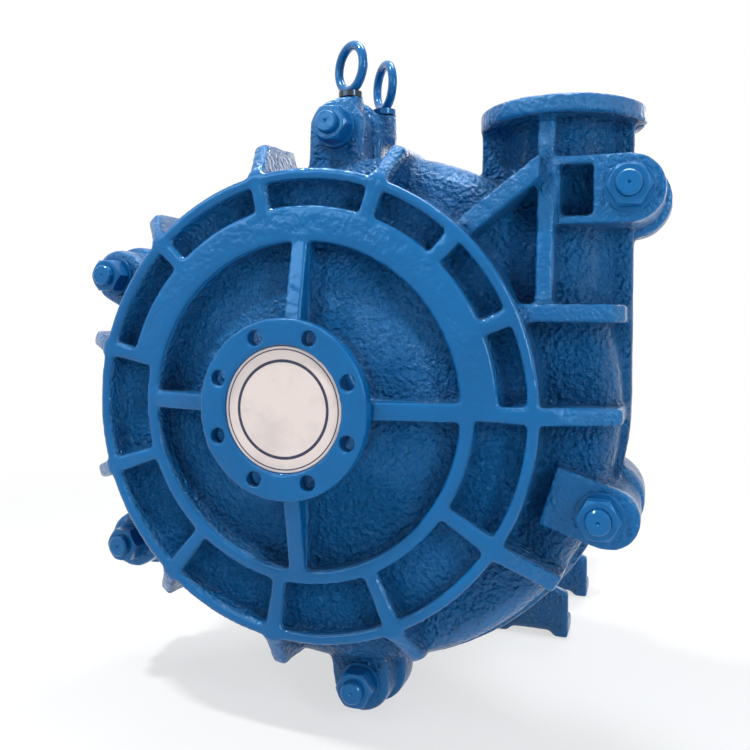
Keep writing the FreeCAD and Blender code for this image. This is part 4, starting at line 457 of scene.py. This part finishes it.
def cast_copy(node, name, voxel, lumps, most, rounded=None):
    """A copy of a machined-looking casting with its corners rounded and its skin uneven.
    rounded gives the radius, depth and reach within which the outer ribs are rounded further."""
    source = frame["nodes"][node]
    form = bmesh.new()
    form.from_mesh(source.data)
    bmesh.ops.remove_doubles(form, verts=form.verts, dist=0.000002)
    mesh = bpy.data.meshes.new(name)
    form.to_mesh(mesh)
    form.free()
    piece = bpy.data.objects.new(name, mesh)
    bpy.context.collection.objects.link(piece)
    grid = piece.modifiers.new("grid", "REMESH")
    grid.mode = "VOXEL"
    grid.voxel_size = voxel
    grid.use_smooth_shade = True
    ease = piece.modifiers.new("ease", "SMOOTH")
    ease.factor = 0.5
    ease.iterations = 7
    graph = bpy.context.evaluated_depsgraph_get()
    formed = bpy.data.meshes.new_from_object(piece.evaluated_get(graph))
    piece.modifiers.clear()
    piece.data = formed
    lugs = piece.vertex_groups.new(name="outer_ribs")
    for vertex in formed.vertices:
        x, y, z = vertex.co
        reach = math.hypot(x, z)
        if rounded and rounded[0] < reach and y < rounded[1] and x < rounded[2]:
            lugs.add([vertex.index], min((reach - rounded[0]) / 0.006, 1.0), "REPLACE")
    worn = piece.modifiers.new("worn", "SMOOTH")
    worn.vertex_group = "outer_ribs"
    worn.factor = 0.5
    worn.iterations = 26
    skin = bpy.data.textures.new(name + "_lumps", "CLOUDS")
    skin.noise_scale = 0.022
    skin.noise_depth = 2
    swell = piece.modifiers.new("swell", "DISPLACE")
    swell.texture = skin
    swell.texture_coords = "LOCAL"
    swell.strength = lumps
    swell.mid_level = 0.75
    graph = bpy.context.evaluated_depsgraph_get()
    triangles = sum(len(face.vertices) - 2 for face in piece.evaluated_get(graph).data.polygons)
    if triangles > most:
        thin = piece.modifiers.new("thin", "DECIMATE")
        thin.ratio = most / triangles
        graph = bpy.context.evaluated_depsgraph_get()
    finished = bpy.data.meshes.new_from_object(piece.evaluated_get(graph))
    piece.modifiers.clear()
    piece.data = finished
    finished.name = name
    for face in finished.polygons:
        face.use_smooth = True
    low, high = (Vector(corner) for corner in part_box(node))
    for vertex in finished.vertices:
        for axis in range(3):
            vertex.co[axis] = min(max(vertex.co[axis], low[axis]), high[axis])
    mark_ridges(finished, RIDGE_ROUNDS)
    return piece


class CastCasing(bpy.types.Operator):
    """Rounds and paints the four blue castings"""
    bl_idname = "pump.cast_casing"
    bl_label = "Castings"

    def execute(self, context):
        finish = context.scene.pump_finish
        paints = {
            "cover_plate": enamel("enamel_cover", finish, 0.0050, 0.35, plain_front=0.053),
            "frame_plate": enamel("enamel_frame", finish, 0.0042, 0.35),
            # The base takes at least 45 per cent of the darker enamel: painted shade, for the base lies in shadow
            # under the pump.
            "base": enamel("enamel_base", finish, 0.0032, 0.4, depth=0.45),
            "bearing_housing": enamel("enamel_housing", finish, 0.0030, 0.35),
        }
        for node in CASTINGS:
            rounded = OUTER_RIBS if node == "cover_plate" else None
            piece = cast_copy(node, node + "_cast", finish.voxel, finish.lumps, finish.faces, rounded)
            piece.data.materials.clear()
            piece.data.materials.append(paints[node])
            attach(piece, body_of(node))
            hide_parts(node)
        return {"FINISHED"}


# ---------------------------------------------------------------------------------------------
# Fasteners
# ---------------------------------------------------------------------------------------------
def separate_boxes(node):
    """The low and high corners of each loose part of a node."""
    form = bmesh.new()
    form.from_mesh(frame["nodes"][node].data)
    bmesh.ops.remove_doubles(form, verts=form.verts, dist=0.000002)
    waiting = set(form.verts)
    boxes = []
    while waiting:
        reached = [waiting.pop()]
        for vertex in reached:
            for edge in vertex.link_edges:
                other = edge.other_vert(vertex)
                if other in waiting:
                    waiting.remove(other)
                    reached.append(other)
        low = Vector([min(vertex.co[axis] for vertex in reached) for axis in range(3)])
        high = Vector([max(vertex.co[axis] for vertex in reached) for axis in range(3)])
        boxes.append((low, high))
    form.free()
    return sorted(boxes, key=lambda pair: (round(pair[0].x, 4), round(pair[0].z, 4), pair[0].y))


def turned_form(form, profile, x, z, steps=48):
    """Spins a closed profile of (radius, y) points about an axis along Y."""
    start = [form.verts.new((x + radius, y, z)) for radius, y in profile]
    edges = [form.edges.new((start[index], start[(index + 1) % len(start)])) for index in range(len(start))]
    before = set(form.verts) - set(start)
    bmesh.ops.spin(form, geom=start + edges, cent=(x, 0, z), axis=(0, 1, 0), dvec=(0, 0, 0),
                   angle=math.tau, steps=steps, use_merge=True, use_duplicate=False)
    made = [vertex for vertex in form.verts if vertex not in before]
    bmesh.ops.remove_doubles(form, verts=made, dist=0.000003)
    return [vertex for vertex in made if vertex.is_valid]


def stud_form(form, low, high, drill):
    """A stud with chamfered ends, a centre mark in each and a few painted threads at its tails."""
    x, z = (low.x + high.x) / 2, (low.z + high.z) / 2
    radius = (high.x - low.x) / 2
    chamfer = radius * 0.13
    pitch = 0.003
    profile = [(0.00001, low.y + drill), (drill, low.y), (radius - chamfer, low.y), (radius, low.y + chamfer)]
    for turn in range(3):
        y = low.y + chamfer + pitch * (turn + 0.6)
        profile += [(radius, y), (radius - 0.0005, y + pitch * 0.2), (radius, y + pitch * 0.4)]
    for turn in reversed(range(3)):
        y = high.y - chamfer - pitch * (turn + 0.6)
        profile += [(radius, y - pitch * 0.4), (radius - 0.0005, y - pitch * 0.2), (radius, y)]
    profile += [(radius, high.y - chamfer), (radius - chamfer, high.y), (drill, high.y),
                (0.00001, high.y - drill)]
    turned_form(form, profile, x, z, 40)


def nut_form(form, low, high, bore, chamfer):
    """A hexagon nut cut from a turned blank, so that its corners are chamfered at both ends."""
    x, z = (low.x + high.x) / 2, (low.z + high.z) / 2
    corner = max(high.x - low.x, high.z - low.z) / 2
    flat = corner * math.cos(math.pi / 6)
    first = 0 if high.x - low.x > high.z - low.z else math.pi / 6
    face = flat * 0.95
    blank = bmesh.new()
    turned_form(blank, [(bore, low.y), (face, low.y), (corner, low.y + chamfer), (corner, high.y - chamfer),
                        (face, high.y), (bore, high.y)], x, z, 72)
    bmesh.ops.recalc_face_normals(blank, faces=blank.faces)
    for side in range(6):
        angle = first + math.pi / 6 + side * math.pi / 3
        way = Vector((math.cos(angle), 0, math.sin(angle)))
        parts = list(blank.verts) + list(blank.edges) + list(blank.faces)
        bmesh.ops.bisect_plane(blank, geom=parts, dist=0.0000005, plane_co=Vector((x, 0, z)) + way * flat,
                               plane_no=way, clear_outer=True)
        open_edges = [edge for edge in blank.edges if edge.is_boundary]
        bmesh.ops.holes_fill(blank, edges=open_edges, sides=0)
    bmesh.ops.recalc_face_normals(blank, faces=blank.faces)
    mesh = bpy.data.meshes.new("nut")
    blank.to_mesh(mesh)
    blank.free()
    form.from_mesh(mesh)
    bpy.data.meshes.remove(mesh)


def finish_form(form, name, material, round_edge):
    """Makes the piece of a bmesh, with its thick paint rounding the edges."""
    bmesh.ops.recalc_face_normals(form, faces=form.faces)
    mesh = bpy.data.meshes.new(name)
    form.to_mesh(mesh)
    form.free()
    for face in mesh.polygons:
        face.use_smooth = True
    mesh.materials.append(material)
    piece = bpy.data.objects.new(name, mesh)
    bpy.context.collection.objects.link(piece)
    edge = piece.modifiers.new("edge", "BEVEL")
    edge.width = round_edge
    edge.segments = 2
    edge.limit_method = "ANGLE"
    edge.angle_limit = math.radians(28)
    edge.harden_normals = True
    return piece


class FitCasingStuds(bpy.types.Operator):
    """Makes the casing studs, nuts and washers and paints them"""
    bl_idname = "pump.fit_casing_studs"
    bl_label = "Casing studs"

    def execute(self, context):
        finish = context.scene.pump_finish
        paint = enamel("enamel_studs", finish, 0.0010, 0.3, cast=False)
        studs, nuts, washers = bmesh.new(), bmesh.new(), bmesh.new()
        stud_boxes = separate_boxes("casing_studs")
        bore = (stud_boxes[0][1].x - stud_boxes[0][0].x) / 2 + 0.0001
        for low, high in stud_boxes:
            stud_form(studs, low, high, finish.drill)
        for low, high in separate_boxes("casing_nuts"):
            nut_form(nuts, low, high, bore, finish.chamfer)
        for low, high in separate_boxes("casing_washers"):
            reach = (high.x - low.x) / 2
            turned_form(washers, [(bore, low.y), (reach, low.y), (reach, high.y), (bore, high.y)],
                        (low.x + high.x) / 2, (low.z + high.z) / 2, 56)
        for form, node, edge in ((studs, "casing_studs", 0.0003), (nuts, "casing_nuts", 0.0007),
                                 (washers, "casing_washers", 0.0008)):
            piece = finish_form(form, node + "_turned", paint, edge)
            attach(piece, body_of(node))
            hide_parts(node)
        return {"FINISHED"}


class PaintFasteners(bpy.types.Operator):
    """Paints the other fasteners, the covers and the eyebolts"""
    bl_idname = "pump.paint_fasteners"
    bl_label = "Fasteners"

    def execute(self, context):
        finish = context.scene.pump_finish
        paint = enamel("enamel_steel", finish, 0.0006, 0.5, cast=False)
        for node in PAINTED:
            dress(node, paint)
        dress("eyebolt_rear", paint)
        dress("eyebolt_front", eyebolt_paint(finish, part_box("eyebolt_front")[1].z - EYE_HEIGHT))
        return {"FINISHED"}


class FinishWearParts(bpy.types.Operator):
    """Gives the liners and impeller their bare iron and the joints their rubber"""
    bl_idname = "pump.finish_wear_parts"
    bl_label = "Liners and joints"

    def execute(self, context):
        iron = bare_metal("white_iron", (0.42, 0.42, 0.43), 0.45, 0.68, 28, bump=0.0005)
        for node in WEAR_PARTS:
            dress(node, iron)
        seal = rubber()
        for node in SEALS:
            dress(node, seal)
        return {"FINISHED"}


class FinishRotor(bpy.types.Operator):
    """Gives the shaft, bearings, lantern ring and packing their finishes"""
    bl_idname = "pump.finish_rotor"
    bl_label = "Shaft and seals"

    def execute(self, context):
        steel = turned_metal("turned_steel", (0.58, 0.58, 0.60), 0.22, 0.36)
        for node in STEEL_PARTS:
            dress(node, steel)
        dress("lantern_ring", turned_metal("turned_bronze", (0.70, 0.50, 0.25), 0.28, 0.42))
        dress("packing_rings", braid())
        return {"FINISHED"}


class FinishCover(bpy.types.Operator):
    """Prints the rings on the white suction cover"""
    bl_idname = "pump.finish_cover"
    bl_label = "Suction cover"

    def execute(self, context):
        low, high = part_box("suction_cover")
        reach = (high.x - low.x) / 2
        form = bmesh.new()
        turned_form(form, [(0.00001, low.y + 0.0004), (reach * 0.5, low.y + 0.0002), (reach, low.y),
                           (reach, high.y), (0.00001, high.y)], (low.x + high.x) / 2, (low.z + high.z) / 2, 96)
        piece = finish_form(form, "suction_cover_disc", cover_sheet(context.scene.disc_finish), 0.0008)
        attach(piece, body_of("suction_cover"))
        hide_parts("suction_cover")
        return {"FINISHED"}


# ---------------------------------------------------------------------------------------------
# Stage
# ---------------------------------------------------------------------------------------------
def seen_rays(tree):
    """1 for the rays that look at the background, straight or through gloss and glass."""
    path = tree.nodes.new("ShaderNodeLightPath")
    gloss = maths(tree, "MAXIMUM", path.outputs["Is Glossy Ray"], path.outputs["Is Transmission Ray"])
    return maths(tree, "MAXIMUM", path.outputs["Is Camera Ray"], gloss)


def floor_material():
    """Pale floor that keeps a soft shadow and turns white away from the pump."""
    material, tree, shader, place = new_material("floor", Roughness=0.9)
    shader.inputs["Base Color"].default_value = (0.82, 0.82, 0.82, 1)
    reach = tree.nodes.new("ShaderNodeVectorMath")
    reach.operation = "LENGTH"
    tree.links.new(place, reach.inputs[0])
    far = span(tree, reach.outputs["Value"], 0.7, 2.4, 0.62, 1.0)
    white = add(tree, "Emission", in_Strength=1.0)
    mix = tree.nodes.new("ShaderNodeMixShader")
    tree.links.new(maths(tree, "MULTIPLY", far, seen_rays(tree)), mix.inputs[0])
    tree.links.new(shader.outputs[0], mix.inputs[1])
    tree.links.new(white.outputs[0], mix.inputs[2])
    tree.links.new(mix.outputs[0], tree.nodes["Material Output"].inputs["Surface"])
    return material


def world_light():
    """Pale sky all round, seen as white."""
    world = bpy.data.worlds.new("studio")
    world.use_nodes = True
    tree = world.node_tree
    sky = tree.nodes["Background"]
    split = tree.nodes.new("ShaderNodeSeparateXYZ")
    tree.links.new(tree.nodes.new("ShaderNodeTexCoord").outputs["Generated"], split.inputs[0])
    height = span(tree, split.outputs["Z"], -0.3, 0.9)
    tree.links.new(blend_colour(tree, height, (0.22, 0.23, 0.25), (0.80, 0.88, 1.0)), sky.inputs["Color"])
    sky.inputs["Strength"].default_value = 0.27
    white = add(tree, "Background", in_Strength=1.0)
    white.inputs["Color"].default_value = (1, 1, 1, 1)
    mix = tree.nodes.new("ShaderNodeMixShader")
    tree.links.new(seen_rays(tree), mix.inputs[0])
    tree.links.new(sky.outputs[0], mix.inputs[1])
    tree.links.new(white.outputs[0], mix.inputs[2])
    tree.links.new(mix.outputs[0], tree.nodes["World Output"].inputs["Surface"])
    bpy.context.scene.world = world


def lamp(name, place, target, size, power, colour=(1, 1, 1)):
    light = bpy.data.lights.new(name, "AREA")
    light.shape = "RECTANGLE"
    light.size, light.size_y = size
    light.energy = power
    light.color = colour
    holder = bpy.data.objects.new(name, light)
    holder.location = place
    holder.rotation_euler = (Vector(target) - Vector(place)).to_track_quat("-Z", "Y").to_euler()
    bpy.context.collection.objects.link(holder)


def add_camera():
    camera = bpy.data.cameras.new("view")
    camera.lens = 37.95
    camera.sensor_width = 36
    camera.shift_x = -0.00464
    camera.shift_y = -0.06717
    holder = bpy.data.objects.new("view", camera)
    yaw, pitch, roll = (math.radians(angle) for angle in (19.27, 0.35, 0.52))
    ahead = Vector((-math.sin(yaw) * math.cos(pitch), math.cos(yaw) * math.cos(pitch), -math.sin(pitch)))
    level = Vector((math.cos(yaw), math.sin(yaw), 0))
    across = math.cos(roll) * level + math.sin(roll) * level.cross(ahead)
    upward = across.cross(ahead)
    turn = Matrix((across, upward, -ahead)).transposed().to_4x4()
    holder.matrix_world = Matrix.Translation((0.4341, -0.8772, 0.1121)) @ turn
    bpy.context.collection.objects.link(holder)
    bpy.context.scene.camera = holder


class SetStage(bpy.types.Operator):
    """Adds the floor, the light and the camera"""
    bl_idname = "pump.set_stage"
    bl_label = "Stage"

    def execute(self, context):
        form = bmesh.new()
        bmesh.ops.create_grid(form, x_segments=1, y_segments=1, size=9)
        bmesh.ops.translate(form, verts=form.verts, vec=(0, 0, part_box("base")[0][2]))
        mesh = bpy.data.meshes.new("floor")
        form.to_mesh(mesh)
        form.free()
        floor = bpy.data.objects.new("floor", mesh)
        mesh.materials.append(floor_material())
        context.collection.objects.link(floor)
        world_light()
        centre = (0.05, 0.25, 0.0)
        lamp("sky", (-1.5, -2.0, 1.45), (-0.1, 0.05, 0.25), (2.2, 0.9), 22, (0.93, 0.97, 1.0))
        lamp("sun", (-0.7, -0.55, 2.3), centre, (0.20, 0.20), 56, (1.0, 0.98, 0.95))
        lamp("top", (0.3, 0.6, 2.5), centre, (1.4, 0.9), 46, (0.90, 0.96, 1.0))
        lamp("right", (1.75, -1.05, 0.75), (0.35, 0.15, 0.15), (0.30, 1.0), 20)
        lamp("back", (0.6, 2.8, 1.2), (0, 0.6, 0), (1.8, 1.2), 20)
        add_camera()
        context.scene.view_settings.view_transform = "Standard"
        return {"FINISHED"}


class PumpPanel(bpy.types.Panel):
    """Lists the steps that finish the pump"""
    bl_idname = "VIEW3D_PT_slurry_pump"
    bl_label = "Slurry Pump"
    bl_space_type = "VIEW_3D"
    bl_region_type = "UI"
    bl_category = "Slurry Pump"

    def draw(self, context):
        layout = self.layout
        for group in (context.scene.pump_finish, context.scene.disc_finish):
            for name in group.__annotations__:
                layout.prop(group, name)
        for step in STEPS:
            layout.operator(step.bl_idname)


STEPS = (CastCasing, FitCasingStuds, PaintFasteners, FinishWearParts, FinishRotor, FinishCover, SetStage)
CLASSES = (PumpFinish, DiscFinish, *STEPS, PumpPanel)


def register():
    for item in CLASSES:
        bpy.utils.register_class(item)
    bpy.types.Scene.pump_finish = bpy.props.PointerProperty(type=PumpFinish)
    bpy.types.Scene.disc_finish = bpy.props.PointerProperty(type=DiscFinish)


def unregister():
    del bpy.types.Scene.disc_finish
    del bpy.types.Scene.pump_finish
    for item in reversed(CLASSES):
        bpy.utils.unregister_class(item)


def main():
    register()
    cast_skin_group()
    wear_group()
    for step in STEPS:
        category, name = step.bl_idname.split(".")
        getattr(getattr(bpy.ops, category), name)()


if __name__ == "__main__":
    main()
